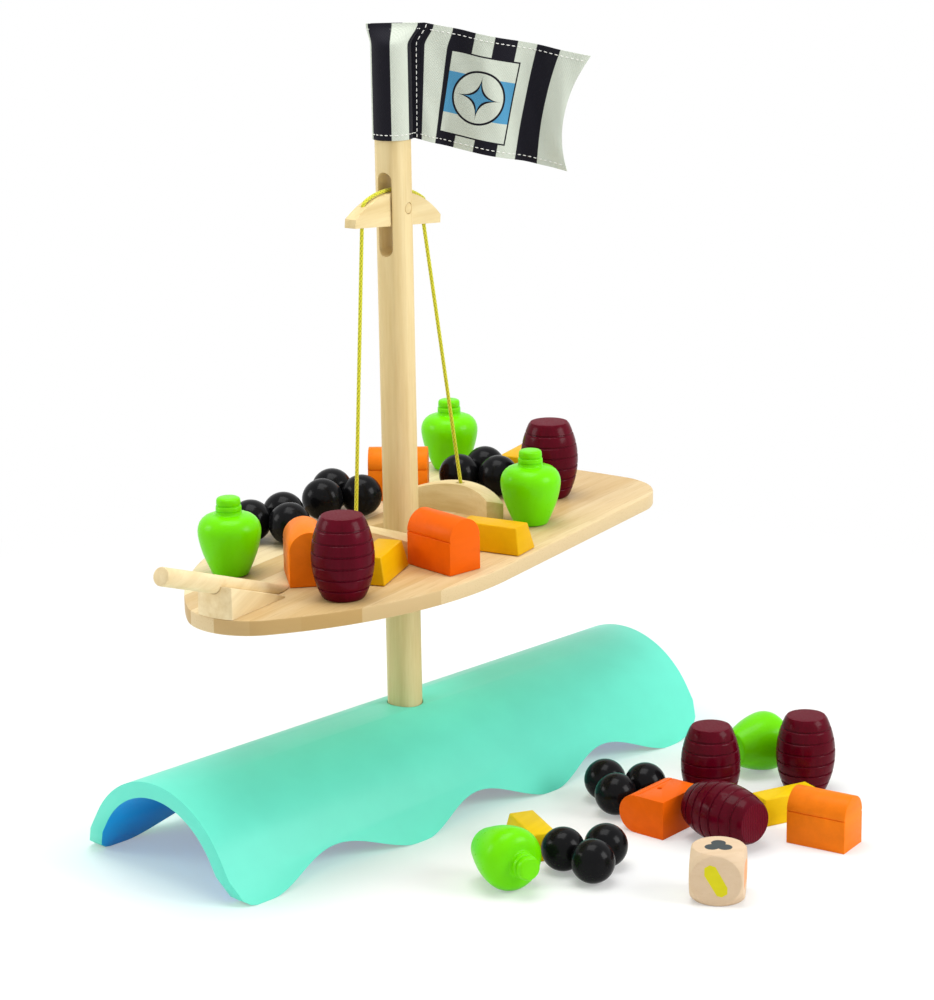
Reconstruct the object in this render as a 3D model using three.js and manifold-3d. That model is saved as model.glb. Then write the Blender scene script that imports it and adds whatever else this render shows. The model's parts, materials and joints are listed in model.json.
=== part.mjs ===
// Balancing boat game: a deck hung by a cord from a rocking yard on a mast, a bent-wood wave as
// its stand, a cloth flag and small wooden cargo. Millimetres, +Z up, bow along -X, mast on the Z axis.
import * as THREE from "three";
import { mergeVertices } from "three/addons/utils/BufferGeometryUtils.js";
import Module from "manifold-3d";

const wasm = await Module();
wasm.setup();

// Clearances
const SEAT_GAP = 0.3;
const RUNNING_GAP = 0.4;

// Wave stand, its feet as shares of its length from the bow end
const WAVE_LENGTH = 376;
const WAVE_BOW_SHARE = 0.495;
const WAVE_HEIGHT = 53.5;
const WAVE_WALL = 9;
const WAVE_CROWN_RADIUS = 60;
const WAVE_FLANK_ANGLE = 58;
const WAVE_TURN = -12.5;
const WAVE_FEET = [0.05, 0.355, 0.634, 0.9135];
const WAVE_VALLEY = 13;
const WAVE_FOOT_FLAT = 0.4;
const WAVE_BOW_CORNER = { long: 12, high: 14 };
const WAVE_STERN_CORNER = { long: 32.5, high: 18 };
const WAVE_STEPS = 96;
const STEP_LENGTH = 44;
const STEP_WIDTH = 48;
const STEP_FLOOR = 6;

// Mast and yard
const MAST_DIAMETER = 20;
const MAST_TOP = 426;
const SLOT_WIDTH = 8.7;
const SLOT_LENGTH = 46.7;
const SLOT_DROP = 26.3;
const PIN_BELOW_TOP = 86;
const PIN_HEIGHT = MAST_TOP - PIN_BELOW_TOP;
const PIN_DIAMETER = 6;
const YARD_LENGTH = 85;
const YARD_THICKNESS = 7;
const YARD_DEPTH = 18.5;
const YARD_BELOW_PIN = 10;
const YARD_TOP_RADIUS = 72;
const YARD_TILT = 6.5;
const YARD_HOLE_SPACING = 62;

// Cord
const CORD_DIAMETER = 2.2;
const CORD_SIDES = 8;
const KNOT_DIAMETER = 5.2;

// Deck, arches and bowsprit
const DECK_TOP = 151.5;
const DECK_THICKNESS = 8.5;
const DECK_SWAY = 9;
const DECK_BEAM = 166;
const DECK_BEAM_FORWARD = 33;
const DECK_SIDE_RADIUS = 206;
const DECK_NOSE_RADIUS = 36;
const DECK_STERN = 168;
const DECK_STERN_WIDTH = 160;
const DECK_CORNER_RADIUS = 36;
const DECK_TRANSOM_BULGE = 1.5;
const DECK_HOLE_DIAMETER = 56;
const ARCH_OFFSET = 7.2;
const ARCH_RADIUS = 47;
const ARCH_WIDTH = 10.2;
const ARCH_HEIGHT = 17;
const ARCH_CROWN_RADIUS = 85;
const ARCH_HALF_ANGLE = 40;
const ARCH_HOLE_DIAMETER = 5;
const ARCH_POCKET_DIAMETER = 8;
const ARCH_POCKET_DEPTH = 8;
const BOWSPRIT_DIAMETER = 10;
const BOWSPRIT_ANGLE = 19.5;
const BOWSPRIT_REACH = 100.7;
const BOWSPRIT_MEETS_DECK = -133.6;
const BLOCK_WIDTH = 22;
const BLOCK_HEIGHT = 18;
const BLOCK_TAIL = 0.8;

// Flag
const FLAG_TURN = -57.6;
const FLAG_BELOW_TOP = 48;
const FLAG_BOTTOM = MAST_TOP - FLAG_BELOW_TOP;
const FLAG_HEIGHT = 62.5;
const FLAG_FLY = 92;
const FLAG_CLOTH = 1;
const FLAG_SEAM = 12.5;
const FLAG_DROOP = 12;
const FLAG_RAKE = 6.7;
const FLAG_FOLD_DEPTH = 3.5;
const FLAG_FOLD_LENGTH = 48;
const FLAG_EDGE_BOW = 8;
const FLAG_TOP_SHIFT = 6;
const FLAG_SHOULDER = 3;

// Cargo
const JAR_HEIGHT = 43;
const JAR_DIAMETER = 34.6;
const JAR_BASE_DIAMETER = 20;
const JAR_WAIST = 24;
const JAR_NECK_DIAMETER = 14.2;
const JAR_NECK_HEIGHT = 9.4;
const BARREL_HEIGHT = 45;
const BARREL_DIAMETER = 34;
const BARREL_END_DIAMETER = 22.8;
const BARREL_BANDS = 7;
const BARREL_GROOVE = 0.8;
const BALL_DIAMETER = 24;
const BALL_SPACING = 23.6;
const CHEST_LENGTH = 35;
const CHEST_DEPTH = 22;
const CHEST_HEIGHT = 30;
const CHEST_GROOVE = 0.8;
const KEYHOLE_DIAMETER = 3;
const KEYHOLE_DEPTH = 2;
const INGOT_LENGTH = 42;
const INGOT_WIDTH = 20;
const INGOT_HEIGHT = 15;
const INGOT_DRAFT = 3;
const DIE_SIZE = 28.5;
const DIE_BALL_DIAMETER = 39.6;
const CARGO_SIDES = 16;

// Where the cargo stands: place of the bottom's centre and turn about the vertical
const DECK_JARS = [
  { x: -107.7, y: 40.2 },
  { x: 143.5, y: 58.6 },
  { x: 59.8, y: -49.7 },
];
const DECK_BARRELS = [
  { x: -113.3, y: -38.1 },
  { x: 117.1, y: -28.2 },
];
const DECK_TRIOS = [
  { x: -40.6, y: 58.7, turn: 14.2 },
  { x: 21.4, y: 57.4, turn: 51.3 },
  { x: 105.1, y: 12.2, turn: 21 },
];
const DECK_CHESTS = [
  { x: -93.9, y: -0.8, turn: 41 },
  { x: -39, y: -53.5, turn: 74.3 },
  { x: 72, y: 49, turn: -60 },
];
const DECK_INGOTS = [
  { x: -69.4, y: -31.6, turn: 15 },
  { x: 5.3, y: -58.1, turn: 93.5 },
  { x: 153, y: 12, turn: 6 },
];
const TABLE_JARS = [
  { x: -89.4, y: -110.2, turn: -115, lying: true },
  { x: 110.1, y: -155.6, turn: -22, lying: true },
];
const TABLE_BARRELS = [
  { x: 69.6, y: -161.6 },
  { x: 112.3, y: -200.5 },
  { x: 22.3, y: -176.2, turn: -105, lying: true },
];
const TABLE_TRIOS = [
  { x: 37.2, y: -122, turn: 74.5 },
  { x: -59.5, y: -154.9, turn: 102.6 },
];
const TABLE_CHESTS = [
  { x: 18.7, y: -170.1, turn: -7.6, lying: true },
  { x: 43.3, y: -245.5, turn: 89.5 },
];
const TABLE_INGOTS = [
  { x: -43.6, y: -111.3, turn: 52 },
  { x: 68.8, y: -209.2, turn: -30 },
];
const TABLE_DIE = { x: -53.6, y: -230.7, turn: 22.3 };

const degrees = THREE.MathUtils.degToRad;
const ALONG_X = new THREE.Matrix4().makeBasis(
  new THREE.Vector3(0, 1, 0),
  new THREE.Vector3(0, 0, 1),
  new THREE.Vector3(1, 0, 0),
);
const ALONG_Y = new THREE.Matrix4().makeBasis(
  new THREE.Vector3(1, 0, 0),
  new THREE.Vector3(0, 0, 1),
  new THREE.Vector3(0, -1, 0),
);

// Solids and geometry

function toSolid(geometry) {
  const loose = geometry.index ? geometry.toNonIndexed() : geometry;
  const bare = new THREE.BufferGeometry();
  bare.setAttribute("position", loose.getAttribute("position"));
  const merged = mergeVertices(bare, 1e-4);
  return new wasm.Manifold(
    new wasm.Mesh({
      numProp: 3,
      vertProperties: new Float32Array(merged.attributes.position.array),
      triVerts: new Uint32Array(merged.index.array),
    }),
  );
}

function toGeometry(solid) {
  const mesh = solid.getMesh();
  const geometry = new THREE.BufferGeometry();
  geometry.setAttribute("position", new THREE.BufferAttribute(new Float32Array(mesh.vertProperties), 3));
  geometry.setIndex(new THREE.BufferAttribute(new Uint32Array(mesh.triVerts), 1));
  geometry.computeVertexNormals();
  return geometry;
}

function subtract(geometry, ...cutters) {
  return toGeometry(cutters.reduce((left, cutter) => left.subtract(toSolid(cutter)), toSolid(geometry)));
}

function intersect(geometry, other) {
  return toGeometry(toSolid(geometry).intersect(toSolid(other)));
}

// A profile drawn in X and Y, raised along Z from zero
function raise(shape, depth, segments = 24) {
  return new THREE.ExtrudeGeometry(shape, { depth, bevelEnabled: false, curveSegments: segments });
}

// A profile drawn in Y and Z, drawn out along X about the middle
function drawAlongX(shape, length, segments = 24) {
  return raise(shape, length, segments).translate(0, 0, -length / 2).applyMatrix4(ALONG_X);
}

// A profile drawn in X and Z, drawn out along Y about the middle
function drawAlongY(shape, width, segments = 24) {
  return raise(shape, width, segments).translate(0, 0, -width / 2).applyMatrix4(ALONG_Y);
}

function upright(radius, bottom, top, sides = 32) {
  const rod = new THREE.CylinderGeometry(radius, radius, top - bottom, sides);
  return rod.rotateX(Math.PI / 2).translate(0, 0, (bottom + top) / 2);
}

// A rod across the boat, about the middle
function crossRod(diameter, length) {
  return new THREE.CylinderGeometry(diameter / 2, diameter / 2, length, 16);
}

// A profile of radius and height pairs turned about the vertical
function turned(profile, sides) {
  const points = profile.map(([radius, height]) => new THREE.Vector2(radius, height));
  return new THREE.LatheGeometry(points, sides).rotateX(Math.PI / 2);
}

function roundSection(radius) {
  const section = new THREE.Shape();
  const corners = Array.from({ length: CORD_SIDES }, (_, i) => (i * 2 * Math.PI) / CORD_SIDES);
  corners.forEach((a, i) => section[i ? "lineTo" : "moveTo"](radius * Math.cos(a), radius * Math.sin(a)));
  section.closePath();
  return section;
}

// Wave stand

// One side of the bent wood, from foot to foot, moved inwards by an offset
function waveEdge(offset) {
  const radius = WAVE_CROWN_RADIUS - offset;
  const middle = WAVE_HEIGHT - WAVE_CROWN_RADIUS;
  const flank = degrees(WAVE_FLANK_ANGLE);
  const knee = { y: radius * Math.sin(flank), z: middle + radius * Math.cos(flank) };
  return { radius, middle, flank, knee, foot: knee.y + knee.z / Math.tan(flank) };
}

// The section under such an edge, down to the table or a little below it
function archProfile(edge, below = 0) {
  const foot = edge.foot + below / Math.tan(edge.flank);
  const shape = new THREE.Shape();
  shape.moveTo(foot, -below);
  shape.lineTo(edge.knee.y, edge.knee.z);
  shape.absarc(0, edge.middle, edge.radius, Math.PI / 2 - edge.flank, Math.PI / 2 + edge.flank, false);
  shape.lineTo(-foot, -below);
  return shape;
}

// Height of the cut edge at a distance from the bow end: rounded corners, feet and valleys between them
function waveHeight(run) {
  const corner = (reach, { long, high }) => high * (1 - Math.sqrt(1 - Math.min(1, reach / long) ** 2));
  const bow = corner(Math.max(0, WAVE_BOW_CORNER.long - run), WAVE_BOW_CORNER);
  const stern = corner(Math.max(0, run - WAVE_LENGTH + WAVE_STERN_CORNER.long), WAVE_STERN_CORNER);
  const share = run / WAVE_LENGTH;
  const next = WAVE_FEET.findIndex((foot) => foot > share);
  if (next < 1) {
    return Math.max(bow, stern);
  }
  const past = (share - WAVE_FEET[next - 1]) / (WAVE_FEET[next] - WAVE_FEET[next - 1]);
  const swell = (WAVE_VALLEY + WAVE_FOOT_FLAT) / 2;
  const valley = swell * (1 - Math.cos(2 * Math.PI * past)) - WAVE_FOOT_FLAT;
  return Math.max(0, valley, bow, stern);
}

function waveBase() {
  const outside = waveEdge(0);
  const inside = waveEdge(WAVE_WALL);
  const bow = -WAVE_LENGTH * WAVE_BOW_SHARE;
  const middle = bow + WAVE_LENGTH / 2;
  const shell = drawAlongX(archProfile(outside), WAVE_LENGTH).translate(middle, 0, 0);
  const hollow = drawAlongX(archProfile(inside, WAVE_WALL), WAVE_LENGTH + WAVE_WALL).translate(middle, 0, 0);
  const below = new THREE.Shape();
  below.moveTo(bow - WAVE_WALL, -WAVE_WALL);
  below.lineTo(bow + WAVE_LENGTH + WAVE_WALL, -WAVE_WALL);
  below.lineTo(bow + WAVE_LENGTH + WAVE_WALL, waveHeight(WAVE_LENGTH));
  for (let i = WAVE_STEPS; i >= 0; i--) {
    const run = (WAVE_LENGTH * i) / WAVE_STEPS;
    below.lineTo(bow + run, waveHeight(run));
  }
  below.lineTo(bow - WAVE_WALL, waveHeight(0));
  const waveCut = drawAlongY(below, 2 * outside.foot + WAVE_WALL);
  const mastHole = upright(MAST_DIAMETER / 2 + RUNNING_GAP, 0, WAVE_HEIGHT + WAVE_WALL);
  return subtract(shell, hollow, waveCut, mastHole);
}

function mastStep() {
  const under = drawAlongX(archProfile(waveEdge(WAVE_WALL + SEAT_GAP)), STEP_LENGTH);
  const block = new THREE.BoxGeometry(STEP_LENGTH, STEP_WIDTH, WAVE_HEIGHT).translate(0, 0, WAVE_HEIGHT / 2);
  const socket = upright(MAST_DIAMETER / 2 + RUNNING_GAP, STEP_FLOOR, WAVE_HEIGHT + WAVE_WALL);
  return subtract(intersect(under, block), socket);
}

// Mast, yard and cord

const slotTop = PIN_HEIGHT - SLOT_DROP + SLOT_LENGTH;

function mast() {
  const pole = upright(MAST_DIAMETER / 2, STEP_FLOOR + SEAT_GAP, MAST_TOP);
  const end = SLOT_WIDTH / 2;
  const slot = new THREE.Shape();
  slot.absarc(0, slotTop - end, end, 0, Math.PI, false);
  slot.absarc(0, PIN_HEIGHT - SLOT_DROP + end, end, Math.PI, 2 * Math.PI, false);
  const pinHole = crossRod(PIN_DIAMETER + 2 * SEAT_GAP, 2 * MAST_DIAMETER).translate(0, 0, PIN_HEIGHT);
  return subtract(pole, drawAlongX(slot, 2 * MAST_DIAMETER, 8), pinHole);
}

function yardPin() {
  return crossRod(PIN_DIAMETER, Math.sqrt(MAST_DIAMETER ** 2 - PIN_DIAMETER ** 2));
}

// Height of the yard's curved top above the pin, or of a curve a little way off it
function yardTop(x, lift = 0) {
  const crest = YARD_DEPTH - YARD_BELOW_PIN;
  return crest - YARD_TOP_RADIUS + Math.sqrt((YARD_TOP_RADIUS + lift) ** 2 - x * x);
}

const holeX = YARD_HOLE_SPACING / 2;

// The cord's way up through one hole, over the curved top and down through the other
function yardCordPath() {
  const lift = CORD_DIAMETER / 2 + SEAT_GAP;
  const half = [
    [holeX, -YARD_BELOW_PIN],
    [holeX, -YARD_BELOW_PIN / 2],
    [holeX, yardTop(holeX) - CORD_DIAMETER],
    [holeX - CORD_DIAMETER / 3, yardTop(holeX) + CORD_DIAMETER / 2],
    [holeX - 2 * CORD_DIAMETER, yardTop(holeX - 2 * CORD_DIAMETER, lift)],
    [holeX / 2, yardTop(holeX / 2, lift)],
  ];
  const way = [...half.map(([x, z]) => [-x, z]), [0, yardTop(0, lift)], ...half.reverse()];
  const points = way.map(([x, z]) => new THREE.Vector3(x, 0, z));
  return new THREE.CatmullRomCurve3(points, false, "centripetal");
}

function cordTube(radius) {
  return new THREE.ExtrudeGeometry(roundSection(radius), { steps: 40, extrudePath: yardCordPath() });
}

function yard() {
  const half = YARD_LENGTH / 2;
  const shape = new THREE.Shape();
  shape.moveTo(-half, -YARD_BELOW_PIN);
  shape.lineTo(half, -YARD_BELOW_PIN);
  shape.lineTo(half, yardTop(half));
  const spread = Math.asin(half / YARD_TOP_RADIUS);
  const middle = YARD_DEPTH - YARD_BELOW_PIN - YARD_TOP_RADIUS;
  shape.absarc(0, middle, YARD_TOP_RADIUS, Math.PI / 2 - spread, Math.PI / 2 + spread, false);
  const board = drawAlongY(shape, YARD_THICKNESS);
  const pinHole = crossRod(PIN_DIAMETER + 2 * SEAT_GAP, 2 * YARD_THICKNESS);
  const cordEnds = [-holeX, holeX].map((x) =>
    upright(CORD_DIAMETER / 2 + SEAT_GAP, -2 * YARD_BELOW_PIN, -YARD_BELOW_PIN / 2, CORD_SIDES).translate(x, 0, 0),
  );
  return subtract(board, pinHole, cordTube(CORD_DIAMETER / 2 + SEAT_GAP), ...cordEnds);
}

// Place of a point of the tilted yard, in the mast's frame
function onYard(x, z) {
  const tilt = degrees(YARD_TILT);
  return new THREE.Vector3(
    x * Math.cos(tilt) + z * Math.sin(tilt),
    0,
    PIN_HEIGHT - x * Math.sin(tilt) + z * Math.cos(tilt),
  );
}

const archHoleX = ARCH_OFFSET + ARCH_RADIUS;

// A straight hanging stretch with round ends, from below the yard's hole into the arch's mouth
function hangingCord(side) {
  const radius = CORD_DIAMETER / 2;
  const top = onYard(side * holeX, -YARD_BELOW_PIN - SEAT_GAP - radius);
  const mouth = DECK_TOP + ARCH_HEIGHT - 2 * SEAT_GAP;
  const foot = new THREE.Vector3(DECK_SWAY + side * archHoleX, 0, mouth + radius);
  const way = foot.clone().sub(top);
  const bend = [0, 30, 60, 90].map(degrees);
  const start = bend.map((a) => [radius * Math.sin(a), -radius * Math.cos(a)]);
  const finish = [...bend].reverse().map((a) => [radius * Math.sin(a), way.length() + radius * Math.cos(a)]);
  const profile = [...start, ...finish].map(([r, h]) => new THREE.Vector2(r, h));
  const cord = new THREE.LatheGeometry(profile, CORD_SIDES);
  const aim = new THREE.Quaternion().setFromUnitVectors(new THREE.Vector3(0, 1, 0), way.normalize());
  return cord.applyQuaternion(aim).translate(top.x, top.y, top.z);
}

// The knotted end in the arch's pocket and the tail that rises into its hole
function cordKnot() {
  const ball = KNOT_DIAMETER / 2;
  const tail = CORD_DIAMETER / 2;
  const middle = ball + RUNNING_GAP;
  const neck = Math.acos(tail / ball);
  const turns = 6;
  const profile = Array.from({ length: turns + 1 }, (_, i) => {
    const a = -Math.PI / 2 + (i / turns) * (Math.PI / 2 + neck);
    return [i ? ball * Math.cos(a) : 0, middle + ball * Math.sin(a)];
  });
  const top = ARCH_HEIGHT - 1;
  return turned([...profile, [tail, top], [0, top]], CORD_SIDES);
}

// Deck, arches and bowsprit, about the middle of the deck's hole

function deckOutline() {
  const beam = DECK_BEAM / 2;
  const inset = DECK_SIDE_RADIUS - beam;
  const nose = -DECK_BEAM_FORWARD - Math.sqrt((DECK_SIDE_RADIUS - DECK_NOSE_RADIUS) ** 2 - inset ** 2);
  const meet = Math.atan2(inset, nose + DECK_BEAM_FORWARD);
  const corner = { x: DECK_STERN - DECK_CORNER_RADIUS, y: DECK_STERN_WIDTH / 2 - DECK_CORNER_RADIUS };
  const shape = new THREE.Shape();
  shape.moveTo(corner.x, DECK_STERN_WIDTH / 2);
  shape.lineTo(-DECK_BEAM_FORWARD, beam);
  shape.absarc(-DECK_BEAM_FORWARD, -inset, DECK_SIDE_RADIUS, Math.PI / 2, meet, false);
  shape.absarc(nose, 0, DECK_NOSE_RADIUS, meet, 2 * Math.PI - meet, false);
  shape.absarc(-DECK_BEAM_FORWARD, inset, DECK_SIDE_RADIUS, 2 * Math.PI - meet, 1.5 * Math.PI, false);
  shape.lineTo(corner.x, -DECK_STERN_WIDTH / 2);
  shape.absarc(corner.x, -corner.y, DECK_CORNER_RADIUS, 1.5 * Math.PI, 2 * Math.PI, false);
  shape.quadraticCurveTo(DECK_STERN + 2 * DECK_TRANSOM_BULGE, 0, DECK_STERN, corner.y);
  shape.absarc(corner.x, corner.y, DECK_CORNER_RADIUS, 0, Math.PI / 2, false);
  return { shape, bow: nose - DECK_NOSE_RADIUS };
}

function deck() {
  const { shape } = deckOutline();
  shape.holes.push(new THREE.Path().absarc(0, 0, DECK_HOLE_DIAMETER / 2, 0, 2 * Math.PI, true));
  return raise(shape, DECK_THICKNESS, 16).translate(0, 0, -DECK_THICKNESS);
}

// A sector of a ring with a top crowned across the boat, bored for the cord and pocketed for its knot
function arch(side) {
  const spread = degrees(ARCH_HALF_ANGLE);
  const shape = new THREE.Shape();
  shape.absarc(0, 0, ARCH_RADIUS + ARCH_WIDTH / 2, -spread, spread, false);
  shape.absarc(0, 0, ARCH_RADIUS - ARCH_WIDTH / 2, spread, -spread, true);
  const ring = raise(shape, ARCH_HEIGHT, 20);
  const crown = new THREE.CylinderGeometry(ARCH_CROWN_RADIUS, ARCH_CROWN_RADIUS, 4 * ARCH_RADIUS, 180)
    .rotateZ(Math.PI / 2)
    .translate(0, 0, ARCH_HEIGHT - ARCH_CROWN_RADIUS);
  const hole = upright(ARCH_HOLE_DIAMETER / 2, -1, 2 * ARCH_HEIGHT, 16).translate(ARCH_RADIUS, 0, 0);
  const pocket = upright(ARCH_POCKET_DIAMETER / 2, -1, ARCH_POCKET_DEPTH, 16).translate(ARCH_RADIUS, 0, 0);
  const piece = subtract(intersect(ring, crown), hole, pocket).translate(ARCH_OFFSET, 0, 0);
  return side < 0 ? piece.rotateZ(Math.PI) : piece;
}

function bowspritRod(radius, extra) {
  const run = BOWSPRIT_REACH + extra;
  return new THREE.CylinderGeometry(radius, radius, run, 20)
    .translate(0, run / 2 - extra, 0)
    .rotateZ(Math.PI / 2 - degrees(BOWSPRIT_ANGLE))
    .rotateX(Math.PI / 2)
    .translate(BOWSPRIT_MEETS_DECK, 0, 0);
}

function bowsprit() {
  const rod = bowspritRod(BOWSPRIT_DIAMETER / 2, 2 * BOWSPRIT_DIAMETER);
  const below = new THREE.BoxGeometry(4 * BOWSPRIT_REACH, 4 * BOWSPRIT_DIAMETER, 4 * BOWSPRIT_DIAMETER);
  return subtract(rod, below.translate(0, 0, SEAT_GAP - 2 * BOWSPRIT_DIAMETER));
}

function bowspritBlock() {
  const { shape, bow } = deckOutline();
  const run = (BLOCK_HEIGHT - BLOCK_TAIL) / Math.tan(degrees(BOWSPRIT_ANGLE));
  const wedge = new THREE.Shape();
  wedge.moveTo(bow, 0);
  wedge.lineTo(bow + run, 0);
  wedge.lineTo(bow + run, BLOCK_TAIL);
  wedge.lineTo(bow, BLOCK_HEIGHT);
  const block = intersect(drawAlongY(wedge, BLOCK_WIDTH), raise(shape, BLOCK_HEIGHT, 16));
  return subtract(block, bowspritRod(BOWSPRIT_DIAMETER / 2 + SEAT_GAP, 4 * BOWSPRIT_DIAMETER));
}

// Flag: a pocket round the mast and a drooping, gently folded fly, drawn in plan and raised in steps

function flag() {
  const inner = MAST_DIAMETER / 2 + SEAT_GAP;
  const outer = inner + FLAG_CLOTH;
  const half = 0.7 * FLAG_CLOTH;
  const root = Math.asin(half / outer);
  const flySteps = 14;
  const ringSteps = 24;
  const tip = FLAG_SEAM + FLAG_FLY;
  const fly = Array.from({ length: flySteps + 1 }, (_, i) => FLAG_SEAM + (FLAG_FLY * i) / flySteps);
  const ring = Array.from({ length: ringSteps + 1 }, (_, i) => root + ((2 * Math.PI - 2 * root) * i) / ringSteps);
  const plan = new THREE.Shape([
    ...[...fly].reverse().map((s) => new THREE.Vector2(s, half)),
    ...ring.map((a) => new THREE.Vector2(outer * Math.cos(a), outer * Math.sin(a))),
    ...fly.map((s) => new THREE.Vector2(s, -half)),
  ]);
  const bore = Array.from({ length: ringSteps }, (_, i) => (-2 * Math.PI * i) / ringSteps);
  plan.holes.push(new THREE.Path(bore.map((a) => new THREE.Vector2(inner * Math.cos(a), inner * Math.sin(a)))));
  const cloth = new THREE.ExtrudeGeometry(plan, { depth: 1, steps: 12, bevelEnabled: false });

  const top = FLAG_BOTTOM + FLAG_HEIGHT;
  const shoulder = MAST_TOP + FLAG_SHOULDER;
  const shoulderShare = 0.75;
  const droop = degrees(FLAG_DROOP);
  const rake = Math.sin(degrees(FLAG_RAKE));
  const place = cloth.getAttribute("position");
  for (let i = 0; i < place.count; i++) {
    const s = place.getX(i);
    const t = place.getY(i);
    const u = place.getZ(i);
    const z = u < shoulderShare
      ? THREE.MathUtils.lerp(FLAG_BOTTOM, shoulder, u / shoulderShare)
      : THREE.MathUtils.lerp(shoulder, top, (u - shoulderShare) / (1 - shoulderShare));
    const pinch = THREE.MathUtils.smoothstep(z, shoulder, top);
    const out = Math.max(0, s - FLAG_SEAM);
    const hang = Math.max(0, Math.min(1, out / (FLAG_FLY / 4)));
    const down = z - top;
    const share = out / FLAG_FLY;
    const bow = FLAG_EDGE_BOW * share ** 6 * (1 - (2 * (down / FLAG_HEIGHT) + 1) ** 2);
    const phase = (2 * Math.PI * out) / FLAG_FOLD_LENGTH + (1.5 * down) / FLAG_HEIGHT;
    const fold = FLAG_FOLD_DEPTH * hang * Math.sin(phase);
    const pocket = s < FLAG_SEAM;
    const thin = Math.hypot(s, t) < inner + FLAG_CLOTH / 2 ? 0.4 / inner : 1.2 / outer;
    const lean = pinch * (s > 0 ? FLAG_TOP_SHIFT : 0.2 * s);
    const flown = FLAG_SEAM + out * Math.cos(droop) + down * hang * rake - bow;
    place.setXYZ(
      i,
      (pocket ? s : flown) + lean,
      (pocket ? t * (1 - pinch + thin * pinch) : t) + fold,
      z - out * Math.sin(droop),
    );
  }
  return toGeometry(toSolid(cloth));
}

// Cargo, each on the middle of its bottom

function jar() {
  const base = JAR_BASE_DIAMETER / 2;
  const belly = JAR_DIAMETER / 2;
  const neck = JAR_NECK_DIAMETER / 2;
  const shoulder = JAR_HEIGHT - JAR_NECK_HEIGHT;
  const cap = JAR_HEIGHT - JAR_NECK_HEIGHT / 2;
  return turned(
    [
      [0, 0],
      [base - 0.5, 0],
      [base, 0.5],
      [base + 0.45 * (belly - base), JAR_WAIST * 0.34],
      [base + 0.83 * (belly - base), JAR_WAIST * 0.68],
      [belly, JAR_WAIST],
      [belly - 0.6, THREE.MathUtils.lerp(JAR_WAIST, shoulder, 0.4)],
      [THREE.MathUtils.lerp(belly, neck, 0.3), THREE.MathUtils.lerp(JAR_WAIST, shoulder, 0.78)],
      [THREE.MathUtils.lerp(belly, neck, 0.7), shoulder - 0.3],
      [neck, shoulder + 0.4],
      [neck - 0.3, cap - 0.5],
      [neck - 0.9, cap],
      [neck - 0.5, cap + 0.5],
      [neck - 0.8, JAR_HEIGHT - 0.8],
      [neck - 1.6, JAR_HEIGHT],
      [0, JAR_HEIGHT],
    ],
    CARGO_SIDES,
  );
}

function barrel() {
  const end = BARREL_END_DIAMETER / 2;
  const swell = BARREL_DIAMETER / 2 - end;
  const radiusAt = (z) => end + swell * (1 - (2 * (z / BARREL_HEIGHT) - 1) ** 2);
  const grooves = Array.from({ length: BARREL_BANDS - 1 }, (_, i) => (BARREL_HEIGHT * (i + 1)) / BARREL_BANDS);
  const middle = BARREL_HEIGHT / 2;
  const cuts = grooves.flatMap((z, i) => [
    ...(i === (BARREL_BANDS - 1) / 2 ? [[radiusAt(middle), middle]] : []),
    [radiusAt(z - BARREL_GROOVE / 2), z - BARREL_GROOVE / 2],
    [radiusAt(z) - BARREL_GROOVE, z],
    [radiusAt(z + BARREL_GROOVE / 2), z + BARREL_GROOVE / 2],
  ]);
  return turned([[0, 0], [end, 0], ...cuts, [end, BARREL_HEIGHT], [0, BARREL_HEIGHT]], CARGO_SIDES);
}

function ballTrio() {
  const ring = BALL_SPACING / Math.sqrt(3);
  const balls = [0, 1, 2].map((i) => {
    const a = (i * 2 * Math.PI) / 3;
    const ball = new THREE.SphereGeometry(BALL_DIAMETER / 2, 12, 8).rotateX(Math.PI / 2);
    return toSolid(ball.translate(ring * Math.cos(a), ring * Math.sin(a), BALL_DIAMETER / 2));
  });
  return toGeometry(balls.reduce((left, right) => left.add(right)));
}

function chest() {
  const half = CHEST_DEPTH / 2;
  const hinge = CHEST_HEIGHT - half;
  const shape = new THREE.Shape();
  shape.moveTo(-half, 0);
  shape.lineTo(half, 0);
  shape.lineTo(half, hinge - CHEST_GROOVE);
  shape.lineTo(half - CHEST_GROOVE, hinge - CHEST_GROOVE / 2);
  shape.lineTo(half, hinge);
  shape.absarc(0, hinge, half, 0, Math.PI, false);
  shape.lineTo(-half + CHEST_GROOVE, hinge - CHEST_GROOVE / 2);
  shape.lineTo(-half, hinge - CHEST_GROOVE);
  const keyhole = crossRod(KEYHOLE_DIAMETER, 2 * KEYHOLE_DEPTH).translate(0, -half, hinge - 1.3 * KEYHOLE_DIAMETER);
  return subtract(drawAlongX(shape, CHEST_LENGTH, 12), keyhole);
}

function ingot() {
  const block = new THREE.BoxGeometry(INGOT_LENGTH, INGOT_WIDTH, INGOT_HEIGHT);
  block.translate(0, 0, INGOT_HEIGHT / 2);
  const place = block.getAttribute("position");
  for (let i = 0; i < place.count; i++) {
    if (place.getZ(i) > 0) {
      place.setX(i, place.getX(i) - Math.sign(place.getX(i)) * INGOT_DRAFT);
      place.setY(i, place.getY(i) - Math.sign(place.getY(i)) * INGOT_DRAFT);
    }
  }
  return block;
}

function die() {
  const cube = new THREE.BoxGeometry(DIE_SIZE, DIE_SIZE, DIE_SIZE);
  const ball = new THREE.SphereGeometry(DIE_BALL_DIAMETER / 2, 32, 20);
  return intersect(cube, ball).translate(0, 0, DIE_SIZE / 2);
}

// Assembly

function piece(name, geometry, color, roughness) {
  const mesh = new THREE.Mesh(geometry, new THREE.MeshStandardMaterial({ color, roughness, metalness: 0 }));
  mesh.name = name;
  return mesh;
}

const WOOD = 0xe0c795;
const DECK_WOOD = 0xe3c284;
const CORD_GREEN = 0xc6cd3c;

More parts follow.
